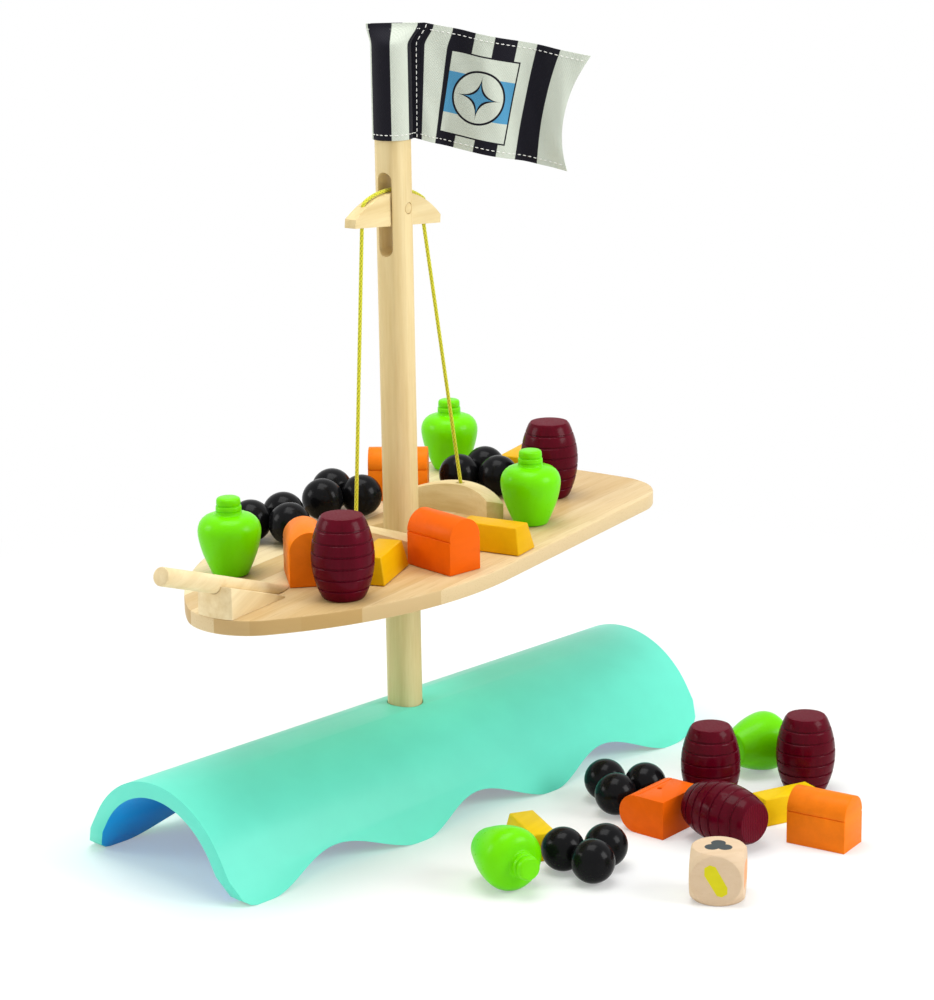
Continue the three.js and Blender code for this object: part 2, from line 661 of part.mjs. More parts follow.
function standing(mesh, spot, height) {
  mesh.position.set(spot.x, spot.y, height);
  mesh.rotation.z = degrees(spot.turn ?? 0);
  return mesh;
}

// A round piece on its side, its axis pointing along its turn
function lyingRound(mesh, spot, radius) {
  mesh.rotation.order = "ZYX";
  mesh.rotation.set(0, Math.PI / 2, degrees(spot.turn));
  mesh.position.set(spot.x, spot.y, radius);
  return mesh;
}

// A chest on its back, its lid pointing a quarter turn from its turn
function lyingChest(mesh, spot) {
  mesh.rotation.order = "ZYX";
  mesh.rotation.set(-Math.PI / 2, 0, degrees(spot.turn));
  mesh.position.set(spot.x, spot.y, CHEST_DEPTH / 2);
  return mesh;
}

const boat = new THREE.Group();

const stand = new THREE.Group();
stand.rotation.z = degrees(WAVE_TURN);
stand.add(piece("wave_base", waveBase(), 0x70e7ca, 0.35));
stand.add(piece("mast_step", mastStep(), WOOD, 0.6));
boat.add(stand);

boat.add(piece("mast", mast(), WOOD, 0.5));
const pin = piece("yard_pin", yardPin(), WOOD, 0.5);
pin.position.z = PIN_HEIGHT;
boat.add(pin);

const rocker = new THREE.Group();
rocker.position.z = PIN_HEIGHT;
rocker.rotation.y = degrees(YARD_TILT);
rocker.add(piece("yard", yard(), WOOD, 0.5));
rocker.add(piece("yard_cord", cordTube(CORD_DIAMETER / 2), CORD_GREEN, 0.7));
boat.add(rocker);

boat.add(piece("fore_cord", hangingCord(-1), CORD_GREEN, 0.7));
boat.add(piece("aft_cord", hangingCord(1), CORD_GREEN, 0.7));

const hull = new THREE.Group();
hull.position.set(DECK_SWAY, 0, DECK_TOP);
hull.add(piece("deck", deck(), DECK_WOOD, 0.5));
for (const [name, side] of [["fore", -1], ["aft", 1]]) {
  hull.add(piece(`${name}_arch`, arch(side), WOOD, 0.5));
  const knot = piece(`${name}_knot`, cordKnot(), CORD_GREEN, 0.7);
  knot.position.x = side * archHoleX;
  hull.add(knot);
}
hull.add(piece("bowsprit_block", bowspritBlock(), WOOD, 0.5));
hull.add(piece("bowsprit", bowsprit(), WOOD, 0.5));
boat.add(hull);

const pennant = piece("flag", flag(), 0xe8e8de, 0.9);
pennant.rotation.z = degrees(FLAG_TURN);
boat.add(pennant);

const jarRadius = JAR_DIAMETER / 2;
const barrelRadius = BARREL_DIAMETER / 2;
const CARGO = [
  { name: "jar", make: jar, color: 0x63bf03, deck: DECK_JARS, table: TABLE_JARS, radius: jarRadius },
  { name: "barrel", make: barrel, color: 0x4a0c1c, deck: DECK_BARRELS, table: TABLE_BARRELS, radius: barrelRadius },
  { name: "ball_trio", make: ballTrio, color: 0x0e0f0c, deck: DECK_TRIOS, table: TABLE_TRIOS },
  { name: "chest", make: chest, color: 0xe87a1f, deck: DECK_CHESTS, table: TABLE_CHESTS },
  { name: "ingot", make: ingot, color: 0xefd728, deck: DECK_INGOTS, table: TABLE_INGOTS },
];
for (const cargo of CARGO) {
  [...cargo.deck, ...cargo.table].forEach((spot, i) => {
    const mesh = piece(`${cargo.name}_${i + 1}`, cargo.make(), cargo.color, 0.4);
    const onDeck = i < cargo.deck.length;
    if (!spot.lying) {
      standing(mesh, spot, onDeck ? DECK_TOP + SEAT_GAP : 0);
    } else if (cargo.radius) {
      lyingRound(mesh, spot, cargo.radius);
    } else {
      lyingChest(mesh, spot);
    }
    boat.add(mesh);
  });
}
boat.add(standing(piece("die", die(), 0xd1b896, 0.6), TABLE_DIE, 0));

export default boat;
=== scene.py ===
"""Balancing boat game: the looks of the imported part, as an add-on that is run as a script."""

import json
import math

import bpy
from mathutils import Matrix, Vector

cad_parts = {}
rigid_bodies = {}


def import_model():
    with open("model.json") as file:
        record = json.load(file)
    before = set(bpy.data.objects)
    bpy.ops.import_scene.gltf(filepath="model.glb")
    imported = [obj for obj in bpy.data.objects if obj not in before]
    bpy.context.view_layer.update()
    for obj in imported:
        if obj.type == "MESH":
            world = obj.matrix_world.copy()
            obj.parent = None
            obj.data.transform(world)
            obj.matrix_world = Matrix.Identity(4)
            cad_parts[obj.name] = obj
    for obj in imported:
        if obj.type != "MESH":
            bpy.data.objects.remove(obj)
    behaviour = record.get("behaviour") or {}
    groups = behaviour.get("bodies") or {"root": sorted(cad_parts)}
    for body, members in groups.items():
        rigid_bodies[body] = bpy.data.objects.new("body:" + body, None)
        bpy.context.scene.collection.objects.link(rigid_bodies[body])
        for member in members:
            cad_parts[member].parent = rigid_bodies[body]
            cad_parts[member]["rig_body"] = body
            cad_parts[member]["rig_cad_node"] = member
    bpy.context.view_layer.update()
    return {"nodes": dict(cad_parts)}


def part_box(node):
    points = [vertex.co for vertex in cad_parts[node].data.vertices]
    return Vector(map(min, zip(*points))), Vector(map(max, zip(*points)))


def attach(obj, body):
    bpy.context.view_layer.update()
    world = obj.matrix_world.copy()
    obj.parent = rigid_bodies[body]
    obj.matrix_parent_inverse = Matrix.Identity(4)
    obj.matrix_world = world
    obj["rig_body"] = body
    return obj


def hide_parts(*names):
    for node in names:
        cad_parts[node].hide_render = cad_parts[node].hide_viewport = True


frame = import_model()

bl_info = {
    "name": "Balancing boat game",
    "version": (1, 0, 0),
    "blender": (4, 5, 0),
    "location": "View3D > Sidebar > Boat",
    "description": "Dresses the balancing boat with wood, lacquer, cord and cloth",
    "category": "Object",
}

MM = 0.001


def srgb(red, green, blue):
    """A colour given as a screen shows it, from 0 to 255, as the linear colour that Blender keeps."""
    def linear(value):
        value /= 255
        return value / 12.92 if value <= 0.04045 else ((value + 0.055) / 1.055) ** 2.4
    return linear(red), linear(green), linear(blue), 1.0


def colour(name, description, default):
    return bpy.props.FloatVectorProperty(
        name=name, description=description, subtype="COLOR", size=4, min=0, max=1, default=default)


def length(name, description, default):
    return bpy.props.FloatProperty(
        name=name, description=description, subtype="DISTANCE", unit="LENGTH", min=0, default=default * MM)


class BoatColours(bpy.types.PropertyGroup):
    """Colours of the finishes"""
    mint: colour("Mint", "Lacquer on the outside of the wave", srgb(106, 229, 204))
    blue: colour("Blue", "Lacquer on the inside of the wave", srgb(6, 166, 238))
    mast_wood: colour("Mast wood", "Pale sanded wood of the mast and yard", srgb(230, 211, 162))
    deck_wood: colour("Deck wood", "Lighter strips of the deck", srgb(240, 222, 180))
    deck_wood_dark: colour("Dark deck wood", "Darker strips of the deck", srgb(193, 156, 95))
    cord: colour("Cord", "Braided cord", srgb(226, 224, 40))
    jar: colour("Jar", "Paint on the jars", srgb(112, 222, 0))
    barrel: colour("Barrel", "Stain on the barrels", srgb(92, 3, 26))
    ball: colour("Ball", "Paint on the ball trios", srgb(16, 16, 18))
    # The chests and ingots each have a deeper and a paler tone of the same paint.
    chest: colour("Chest", "Paint on the chests", srgb(240, 102, 6))
    chest_pale: colour("Pale chest", "Paler paint on some of the chests", srgb(250, 130, 20))
    ingot: colour("Ingot", "Paint on the ingots", srgb(226, 174, 6))
    ingot_pale: colour("Pale ingot", "Paler paint on some of the ingots", srgb(238, 202, 16))
    die: colour("Die", "Plain wood of the die", srgb(223, 200, 172))
    flag_dark: colour("Dark cloth", "Dark stripes of the flag", srgb(20, 19, 28))
    flag_white: colour("White cloth", "Pale stripes of the flag", srgb(206, 213, 199))
    flag_blue: colour("Blue cloth", "Blue field of the flag's panel", srgb(82, 152, 192))


class BoatSizes(bpy.types.PropertyGroup):
    """Sizes of the details"""
    edge: length("Edge", "Rounding of the wooden edges", 0.8)
    cord: length("Cord", "Diameter of the braided cord", 2.2)
    cloth: length("Cloth", "Thickness of the flag's cloth", 0.6)
    strip: length("Strip", "Width of the deck's glued strips", 19)
    stripe: length("Stripe", "Distance between the flag's dark stripes", 23.4)


def colours():
    return bpy.context.scene.boat_colours


def sizes():
    return bpy.context.scene.boat_sizes


# Selecting, copying and placing

def alone(piece):
    bpy.ops.object.select_all(action="DESELECT")
    piece.select_set(True)
    bpy.context.view_layer.objects.active = piece


def edit(piece):
    alone(piece)
    bpy.ops.object.mode_set(mode="EDIT")
    bpy.ops.mesh.select_all(action="SELECT")


def leave_edit():
    bpy.ops.object.mode_set(mode="OBJECT")


def smooth(piece, angle=35):
    alone(piece)
    bpy.ops.object.shade_smooth_by_angle(angle=math.radians(angle))


def apply_all(piece):
    alone(piece)
    for modifier in list(piece.modifiers):
        bpy.ops.object.modifier_apply(modifier=modifier.name)


def paint(piece, *materials):
    piece.data.materials.clear()
    for material in materials:
        piece.data.materials.append(material)


def new_piece(name, points, faces):
    """An object in the scene with a mesh of the given points and faces."""
    mesh = bpy.data.meshes.new(name)
    mesh.from_pydata(points, [], faces)
    piece = bpy.data.objects.new(name, mesh)
    bpy.context.scene.collection.objects.link(piece)
    return piece


def face_outwards(piece):
    edit(piece)
    bpy.ops.mesh.normals_make_consistent(inside=False)
    leave_edit()


def spun(degrees, axis="Z"):
    return Matrix.Rotation(math.radians(degrees), 4, axis)


def settle(piece, place):
    """Moves a piece to its place and writes the place into its mesh."""
    alone(piece)
    piece.matrix_world = place
    bpy.ops.object.transform_apply(location=True, rotation=True, scale=True)


def hand_over(piece, body, slot, *nodes):
    """Lets a finished piece move with its body and stand for its plain solids."""
    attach(piece, body)
    if nodes:
        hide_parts(*nodes)
    return piece


def copy_solid(node):
    """A copy of a solid with its loose triangles merged and its flat faces joined up."""
    alone(frame["nodes"][node])
    bpy.ops.object.duplicate()
    piece = bpy.context.active_object
    piece.parent = None
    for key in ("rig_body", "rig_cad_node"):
        del piece[key]
    piece.name = node + "_finish"
    piece.data.name = piece.name
    edit(piece)
    bpy.ops.mesh.remove_doubles(threshold=1e-6)
    bpy.ops.mesh.customdata_custom_splitnormals_clear()
    bpy.ops.mesh.dissolve_limited(angle_limit=math.radians(0.5))
    leave_edit()
    return piece


def round_edges(piece, width, angle=35, segments=2):
    bevel = piece.modifiers.new("Rounded edges", "BEVEL")
    bevel.width = width
    bevel.segments = segments
    bevel.limit_method = "ANGLE"
    bevel.angle_limit = math.radians(angle)
    apply_all(piece)


def finished_solid(node, body, slot, material, edge, angle=35, segments=2):
    piece = copy_solid(node)
    round_edges(piece, edge, angle, segments)
    smooth(piece)
    paint(piece, material)
    return hand_over(piece, body, slot, node)


def turn_up(name, profile, sides=56):
    """A disc at the foot of a profile in millimetres, extruded and scaled ring by ring."""
    radius, height = (size * MM for size in profile[0])
    bpy.ops.mesh.primitive_circle_add(vertices=sides, radius=radius, fill_type="NGON")
    piece = bpy.context.active_object
    piece.name = name
    edit(piece)
    bpy.ops.transform.translate(value=(0, 0, height))
    for ring in profile[1:]:
        next_radius, next_height = (size * MM for size in ring)
        bpy.ops.mesh.extrude_region_move(TRANSFORM_OT_translate={"value": (0, 0, next_height - height)})
        share = next_radius / radius
        bpy.ops.transform.resize(value=(share, share, 1), center_override=(0, 0, next_height))
        radius, height = next_radius, next_height
    leave_edit()
    face_outwards(piece)
    return piece


def place_copies(master, places, slot):
    """Copies of a modelled piece, each with its own mesh, at the places of the solids they stand for."""
    for node, place in places.items():
        alone(master)
        bpy.ops.object.duplicate()
        piece = bpy.context.active_object
        piece.name = node + "_finish"
        settle(piece, place)
        hand_over(piece, node, slot, node)
    bpy.data.objects.remove(master)


def standing(node, turn=0):
    low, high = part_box(node)
    middle = (low + high) / 2
    return Matrix.Translation((middle.x, middle.y, low.z)) @ spun(turn)


def lying(node, turn, tall):
    """A turned piece on its side, its axis level and pointing along its turn."""
    low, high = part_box(node)
    way = Vector((math.cos(math.radians(turn)), math.sin(math.radians(turn)), 0))
    foot = (low + high) / 2 - way * tall / 2
    return Matrix.Translation(foot) @ spun(turn) @ spun(90, "Y")


# Shader nodes

def add(tree, kind, values=None, **settings):
    """A new node of a tree, its settings made and each given input set or linked."""
    node = tree.nodes.new("ShaderNode" + kind)
    for key, value in settings.items():
        setattr(node, key, value)
    for key, value in (values or {}).items():
        if isinstance(value, bpy.types.NodeSocket):
            tree.links.new(value, node.inputs[key])
        else:
            node.inputs[key].default_value = value
    return node


def maths(tree, operation, first, second=0.0, third=0.0):
    return add(tree, "Math", {0: first, 1: second, 2: third}, operation=operation).outputs[0]


def times(tree, first, second, plus=0.0):
    return maths(tree, "MULTIPLY_ADD", first, second, plus)


def blend(tree, share, first, second):
    return add(tree, "Mix", {0: share, 6: first, 7: second}, data_type="RGBA").outputs[2]


def spread(tree, value, low, high, to_low=0.0, to_high=1.0, kind="LINEAR"):
    ends = {"Value": value, "From Min": low, "From Max": high, "To Min": to_low, "To Max": to_high}
    return add(tree, "MapRange", ends, interpolation_type=kind).outputs[0]


def noise(tree, place, scale, detail=2.0, roughness=0.5):
    values = {"Vector": place, "Scale": scale, "Detail": detail, "Roughness": roughness}
    return add(tree, "TexNoise", values).outputs[0]


def parts_of(tree, place):
    return add(tree, "SeparateXYZ", {0: place}).outputs


def off_middle(tree, value, middle):
    """How far a value is from a middle, to either side."""
    return maths(tree, "ABSOLUTE", maths(tree, "SUBTRACT", value, middle))


def feed(tree, node, **sockets):
    for key, value in sockets.items():
        tree.links.new(value, node.inputs[key.replace("_", " ")])


def group(name, inputs, outputs):
    tree = bpy.data.node_groups.new(name, "ShaderNodeTree")
    for title, kind, default in inputs:
        socket = tree.interface.new_socket(title, in_out="INPUT", socket_type="NodeSocket" + kind)
        if default is not None:
            socket.default_value = default
    for title, kind in outputs:
        tree.interface.new_socket(title, in_out="OUTPUT", socket_type="NodeSocket" + kind)
    return tree, tree.nodes.new("NodeGroupInput").outputs, tree.nodes.new("NodeGroupOutput")


def use(tree, name, values):
    return add(tree, "Group", values, node_tree=bpy.data.node_groups[name]).outputs


def make_grain_group():
    """Streaks, pores and slow tone changes of wood whose fibres run along X."""
    tree, given, result = group(
        "Wood grain",
        [("Vector", "Vector", None), ("Streak", "Float", 0.5)],
        [("Tone", "Float"), ("Pores", "Float"), ("Height", "Float")])
    long_way = add(tree, "Mapping", {"Vector": given["Vector"], "Scale": (9, 160, 160)}).outputs[0]
    slow = noise(tree, long_way, 1.0, 5.0, 0.6)
    fine_way = add(tree, "Mapping", {"Vector": given["Vector"], "Scale": (60, 1500, 1500)}).outputs[0]
    fine = noise(tree, fine_way, 1.0)
    pores = spread(tree, fine, 0.58, 0.72)
    streaks = spread(tree, slow, 0.3, 0.7)
    mixed = times(tree, maths(tree, "SUBTRACT", streaks, 0.5), given["Streak"], 0.5)
    feed(tree, result, Tone=mixed, Pores=pores, Height=times(tree, pores, -0.6, fine))


def make_film_group():
    """Uneven shade, sheen and surface of a thin film of paint or lacquer on wood."""
    tree, given, result = group(
        "Paint film",
        [("Vector", "Vector", None), ("Sheen", "Float", 0.35)],
        [("Shade", "Float"), ("Roughness", "Float"), ("Height", "Float")])
    cloudy = noise(tree, given["Vector"], 45.0, 3.0)
    peel = noise(tree, given["Vector"], 520.0)
    specks = noise(tree, given["Vector"], 1900.0, 1.0)
    rough = times(tree, maths(tree, "SUBTRACT", peel, 0.5), 0.16, given["Sheen"])
    feed(tree, result, Shade=spread(tree, cloudy, 0.3, 0.7, 0.97, 1.02), Roughness=rough,
         Height=times(tree, specks, 0.35, peel))


def make_weave_group():
    """Over and under of a plain weave, on a cloth's own map in tenths of a metre, with painted shade where
    the threads dip under.
    """
    tree, given, result = group(
        "Plain weave",
        [("Vector", "Vector", None), ("Threads", "Float", 130.0)],
        [("Shade", "Float"), ("Height", "Float")])
    parts = parts_of(tree, given["Vector"])
    turns = times(tree, given["Threads"], math.pi)
    across = maths(tree, "SINE", times(tree, parts[0], turns))
    along = maths(tree, "SINE", times(tree, parts[1], turns))
    weave = times(tree, across, along)
    slub = noise(tree, given["Vector"], 60.0, 4.0)
    height = times(tree, slub, 0.8, weave)
    # Painted shade: the colour darkens where the weave's height is low.
    feed(tree, result, Shade=spread(tree, height, -1.0, 1.8, 0.9, 1.05), Height=height)


def new_material(name, roughness=0.5, **fixed):
    material = bpy.data.materials.new(name)
    material.use_nodes = True
    tree = material.node_tree
    shader = tree.nodes["Principled BSDF"]
    shader.inputs["Roughness"].default_value = roughness
    for key, value in fixed.items():
        shader.inputs[key.replace("_", " ")].default_value = value
    return material, tree, shader


def bump(tree, height, strength, distance):
    return add(tree, "Bump", {"Height": height, "Strength": strength, "Distance": distance}).outputs[0]


def object_place(tree):
    return add(tree, "TexCoord").outputs["Object"]


def turned_place(tree, turn):
    """Object coordinates turned by degrees, so that a pattern follows its piece."""
    angles = tuple(math.radians(a) for a in turn)
    return add(tree, "Mapping", {"Vector": object_place(tree), "Rotation": angles}).outputs[0]


def deeper(tint, red, green, blue):
    return tint[0] * red, tint[1] * green, tint[2] * blue, 1


def shaded(tree, tint, shade):
    """A colour made lighter or darker by a value near one."""
    start = tint if isinstance(tint, bpy.types.NodeSocket) else tuple(tint)[:3]
    return add(tree, "VectorMath", {0: start, "Scale": shade}, operation="SCALE").outputs[0]


def plain_wood(name, tint, turn=(0, 0, 0), roughness=0.5, streak=0.8):
    """Sanded pale wood with its fibres along X after the given turn."""
    material, tree, shader = new_material(name, roughness, Specular_IOR_Level=0.2)
    grain = use(tree, "Wood grain", {"Vector": turned_place(tree, turn), "Streak": streak})
    light = tuple(min(1, c * 1.06) for c in tint[:3]) + (1,)
    dark = deeper(tint, 0.84, 0.76, 0.62)
    body = blend(tree, grain["Tone"], dark, light)
    pored = blend(tree, times(tree, grain["Pores"], 0.35), body, dark)
    rough = spread(tree, grain["Tone"], 0, 1, roughness + 0.08, roughness - 0.05)
    feed(tree, shader, Base_Color=pored, Roughness=rough, Normal=bump(tree, grain["Height"], 0.12, 0.0003))
    return material


def deck_wood():
    """Glued strips along the boat, each of its own tone, with speckled end grain round the edge."""
    tints = colours()
    material, tree, shader = new_material("Deck laminate", 0.46, Specular_IOR_Level=0.2)
    place = object_place(tree)
    parts = parts_of(tree, place)
    strip = maths(tree, "DIVIDE", parts[1], sizes().strip)
    tone = add(tree, "TexWhiteNoise", {"W": maths(tree, "FLOOR", strip)}, noise_dimensions="1D").outputs[0]
    shifted = times(tree, tone, 7.0, parts[0])
    moved = add(tree, "CombineXYZ", {0: shifted, 1: parts[1], 2: parts[2]}).outputs[0]
    grain = use(tree, "Wood grain", {"Vector": moved, "Streak": 0.7})
    shade = times(tree, tone, 0.75, times(tree, grain["Tone"], 0.35))
    board = blend(tree, shade, tints.deck_wood_dark, tints.deck_wood)
    dark = deeper(tints.deck_wood_dark, 0.72, 0.62, 0.48)
    lined = blend(tree, times(tree, grain["Pores"], 0.4), board, dark)
    seam = spread(tree, off_middle(tree, maths(tree, "FRACT", strip), 0.5), 0.485, 0.5)
    glued = blend(tree, times(tree, seam, 0.35), lined, dark)
    upright = parts_of(tree, add(tree, "NewGeometry").outputs["Normal"])[2]
    rim = spread(tree, maths(tree, "ABSOLUTE", upright), 0.2, 0.6, 1.0, 0.0)
    speck = add(tree, "TexVoronoi", {"Vector": place, "Scale": 1100.0}).outputs["Distance"]
    marked = times(tree, spread(tree, speck, 0.28, 0.1), maths(tree, "GREATER_THAN", tone, 0.45))
    block = blend(tree, tone, shaded(tree, tints.deck_wood_dark, 0.92), tints.deck_wood)
    end_grain = blend(tree, times(tree, marked, 0.5), block, dark)
    feed(tree, shader, Base_Color=blend(tree, rim, glued, end_grain),
         Roughness=spread(tree, grain["Tone"], 0, 1, 0.52, 0.4),
         Normal=bump(tree, grain["Height"], 0.1, 0.0003))
    return material


def lacquer(name, tint, sheen, bloom=0.0):
    """Sprayed lacquer; the bloom pales it where it turns from the eye."""
    material, tree, shader = new_material(
        name, sheen, Coat_Weight=0.1, Coat_Roughness=0.3, Specular_IOR_Level=0.15,
        Sheen_Weight=bloom, Sheen_Roughness=0.4)
    film = use(tree, "Paint film", {"Vector": object_place(tree), "Sheen": sheen})
    feed(tree, shader, Base_Color=shaded(tree, tint, film["Shade"]), Roughness=film["Roughness"],
         Normal=bump(tree, film["Height"], 0.05, 0.0003))
    return material


def painted_wood(name, tint, sheen, show=0.25, turn=(0, 0, 0), coat=0.02, gloss=0.07):
    """Paint or stain thin enough for the fibres below it to show a little."""
    material, tree, shader = new_material(
        name, sheen, Coat_Weight=coat, Coat_Roughness=0.14, Specular_IOR_Level=gloss)
    grain = use(tree, "Wood grain", {"Vector": turned_place(tree, turn), "Streak": 1.0})
    film = use(tree, "Paint film", {"Vector": object_place(tree), "Sheen": sheen})
    thin = times(tree, maths(tree, "SUBTRACT", 1.0, grain["Tone"]), show)
    body = blend(tree, thin, tint, deeper(tint, 0.6, 0.5, 0.45))
    height = times(tree, grain["Height"], 0.8, film["Height"])
    feed(tree, shader, Base_Color=shaded(tree, body, film["Shade"]), Roughness=film["Roughness"],
         Normal=bump(tree, height, 0.08 + 0.2 * show, 0.0003))
    return material


def sawn_end(name, tint):
    """Stained end grain that keeps the parallel marks of the saw."""
    material, tree, shader = new_material(name, 0.5, Specular_IOR_Level=0.1)
    place = object_place(tree)
    saw = {"Vector": place, "Scale": 230.0, "Distortion": 1.5, "Detail": 2.0, "Detail Scale": 3.0}
    marks = add(tree, "TexWave", saw).outputs["Fac"]
    height = times(tree, noise(tree, place, 1600.0), 0.7, marks)
    feed(tree, shader, Base_Color=shaded(tree, tint, spread(tree, height, 0.2, 1.4, 0.7, 1.35)),
         Normal=bump(tree, height, 0.5, 0.0004))
    return material


def braided_cord():
    """Yarn with painted shade: darker where the strands cross under, a little lighter on the strands' tops.
    """
    material, tree, shader = new_material("Braided cord", 0.6, Sheen_Weight=0.3, Specular_IOR_Level=0.3)
    # Painted shade: the strand value darkens the yarn colour to 0.55 in the crossings.
    strand = spread(tree, add(tree, "Attribute", attribute_name="strand").outputs["Fac"], 0, 1, 0.55, 1.06)
    fuzz = noise(tree, object_place(tree), 2600.0)
    shade = times(tree, strand, spread(tree, fuzz, 0.3, 0.7, 0.9, 1.06))
    feed(tree, shader, Base_Color=shaded(tree, colours().cord, shade), Normal=bump(tree, fuzz, 0.25, 0.0001))
    return material


# Stage

EYE_AZIMUTH = -57.62
EYE_ELEVATION = 15.165
EYE_ROLL = -0.92
EYE_DISTANCE = 1733.84 * MM
EYE_TARGET = Vector((51.85, -11.50, 162.07)) * MM
FOCAL_PIXELS = 3000
PHOTO_WIDTH = 934
SENSOR = 36
FLOOR_SIZE = 24
GLOW_NEAR = 0.28
GLOW_FAR = 0.62
GLOW_LEAST = 0.3
FILL = 0.55
# Painted reflection: the floor's colour is tinted teal in a lane under the stand, for the light the lacquer
# throws there.
PAINTED_BOUNCE_ASIDE = (0.04, 0.11)
PAINTED_BOUNCE_ALONG = (0.16, 0.24)
PAINTED_BOUNCE_TINT = (0.66, 1.0, 0.94, 1)
LAMPS = (("Right softbox", (0.35, -1.55, 0.95), (0.02, -0.05, 0.15), 0.8, 15),
         ("Top softbox", (0.0, 0.05, 1.5), (0.02, -0.04, 0.1), 0.9, 12),
         ("Back softbox", (-0.9, 1.3, 0.9), (0, 0, 0.15), 0.7, 8))


def photo_camera():
    azimuth, elevation, roll = (math.radians(a) for a in (EYE_AZIMUTH, EYE_ELEVATION, EYE_ROLL))
    level = math.cos(elevation)
    back = Vector((math.sin(azimuth) * level, -math.cos(azimuth) * level, math.sin(elevation)))
    right = Vector((math.cos(azimuth), math.sin(azimuth), 0))
    up = back.cross(right)
    turned_right = math.cos(roll) * right + math.sin(roll) * up
    turned_up = math.cos(roll) * up - math.sin(roll) * right
    pose = Matrix((turned_right, turned_up, back)).transposed().to_4x4()
    pose.translation = EYE_TARGET + back * EYE_DISTANCE
    bpy.ops.object.camera_add()
    camera = bpy.context.active_object
    camera.name = "Photo camera"
    camera.matrix_world = pose
    camera.data.sensor_fit = "HORIZONTAL"
    camera.data.sensor_width = SENSOR
    camera.data.lens = FOCAL_PIXELS * SENSOR / PHOTO_WIDTH
    camera.data.clip_end = 100
    bpy.context.scene.camera = camera


def seen(tree):
    """One for what the eye sees, straight, mirrored or through a clear piece."""
    path = add(tree, "LightPath").outputs
    mirrored = maths(tree, "MAXIMUM", path["Is Glossy Ray"], path["Is Transmission Ray"])
    return maths(tree, "MAXIMUM", path["Is Camera Ray"], mirrored)


def soft_lamp(name, place, aim, wide, power):
    bpy.ops.object.light_add(type="AREA", location=place)
    lamp = bpy.context.active_object
    lamp.name = name
    lamp.data.shape = "SQUARE"
    lamp.data.size = wide
    lamp.data.energy = power
    lamp.rotation_euler = (Vector(aim) - Vector(place)).to_track_quat("-Z", "Y").to_euler()


class BOAT_OT_stage(bpy.types.Operator):
    """Camera, pale floor with a painted teal reflection under the stand, soft lamps and a white surround"""
    bl_idname = "boat.stage"
    bl_label = "Stage"

    def execute(self, context):
        context.scene.view_settings.view_transform = "Standard"
        photo_camera()
        bpy.ops.mesh.primitive_grid_add(x_subdivisions=4, y_subdivisions=4, size=FLOOR_SIZE)
        floor = context.active_object
        floor.name = "Floor"
        material, tree, shader = new_material("Pale floor", 0.9, Specular_IOR_Level=0.1)
        distance = add(tree, "VectorMath", {0: object_place(tree)}, operation="LENGTH").outputs["Value"]
        far = spread(tree, distance, GLOW_NEAR, GLOW_FAR, GLOW_LEAST, 1.0, "SMOOTHSTEP")
        bare = blend(tree, noise(tree, object_place(tree), 3.0), (0.9, 0.91, 0.91, 1), (0.93, 0.93, 0.92, 1))
        # Painted reflection: a lane along the stand, under it, gets the teal tint in the floor's colour.
        lane = parts_of(tree, turned_place(tree, (0, 0, -WAVE_TURN)))
        along, aside = maths(tree, "ABSOLUTE", lane[0]), maths(tree, "ABSOLUTE", lane[1])
        under = times(tree, spread(tree, aside, *PAINTED_BOUNCE_ASIDE, 1.0, 0.0, "SMOOTHSTEP"),
                      spread(tree, along, *PAINTED_BOUNCE_ALONG, 1.0, 0.0, "SMOOTHSTEP"))
        feed(tree, shader, Base_Color=blend(tree, under, bare, PAINTED_BOUNCE_TINT))
        glow = add(tree, "Emission", {"Color": (1, 1, 1, 1), "Strength": 1.0}).outputs[0]
        share = times(tree, far, seen(tree))
        both = add(tree, "MixShader", {0: share, 1: shader.outputs[0], 2: glow}).outputs[0]
        tree.links.new(both, tree.nodes["Material Output"].inputs["Surface"])
        paint(floor, material)
        world = context.scene.world or bpy.data.worlds.new("White surround")
        context.scene.world = world
        world.use_nodes = True
        tree = world.node_tree
        tree.nodes.clear()
        strength = spread(tree, seen(tree), 0, 1, FILL, 1.0)
        surround = add(tree, "Background", {"Color": (1, 1, 1, 1), "Strength": strength}).outputs[0]
        tree.links.new(surround, tree.nodes.new("ShaderNodeOutputWorld").inputs["Surface"])
        for lamp in LAMPS:
            soft_lamp(*lamp)
        return {"FINISHED"}


# Cord

PIN_HEIGHT = 340
YARD_TILT = 6.5
YARD_HOLE = 31
YARD_BELOW = 10
YARD_TOP_RADIUS = 72
YARD_CREST = 8.5
SEAT_GAP = 0.3
DECK_SWAY = 9
DECK_TOP = 151.5
ARCH_TOP = 17
ARCH_HOLE = 54.2
BRAID_STRANDS = 4
BRAID_PITCH = 5.5
BRAID_STEP = 0.35 * MM
KNOT_TURNS = 2.5
KNOT_WIDE = 1.5
KNOT_FOOT = 0.4
KNOT_RISE = 4.4
KNOT_STEP = 0.5 * MM


def on_yard(x, z):
    """A point of the tilted yard, in millimetres from the pin, as a place in metres."""
    tilt = math.radians(YARD_TILT)
    return Vector((x * math.cos(tilt) + z * math.sin(tilt), 0,
                   PIN_HEIGHT - x * math.sin(tilt) + z * math.cos(tilt))) * MM


def yard_top(x, lift):
    return YARD_CREST - YARD_TOP_RADIUS + math.sqrt((YARD_TOP_RADIUS + lift) ** 2 - x * x)


def even_steps(points, step):
    """A route of rounded corners through points, in steps of about one length."""
    rounded = []
    for i in range(len(points) - 1):
        before = points[max(i - 1, 0)]
        after = points[min(i + 2, len(points) - 1)]
        start, end = points[i], points[i + 1]
        count = max(1, round((end - start).length / step))
        for j in range(count):
            t = j / count
            rounded.append(0.5 * (2 * start + (end - before) * t
                                  + (2 * before - 5 * start + 4 * end - after) * t * t
                                  + (3 * start - before - 3 * end + after) * t ** 3))
    return rounded + [points[-1]]


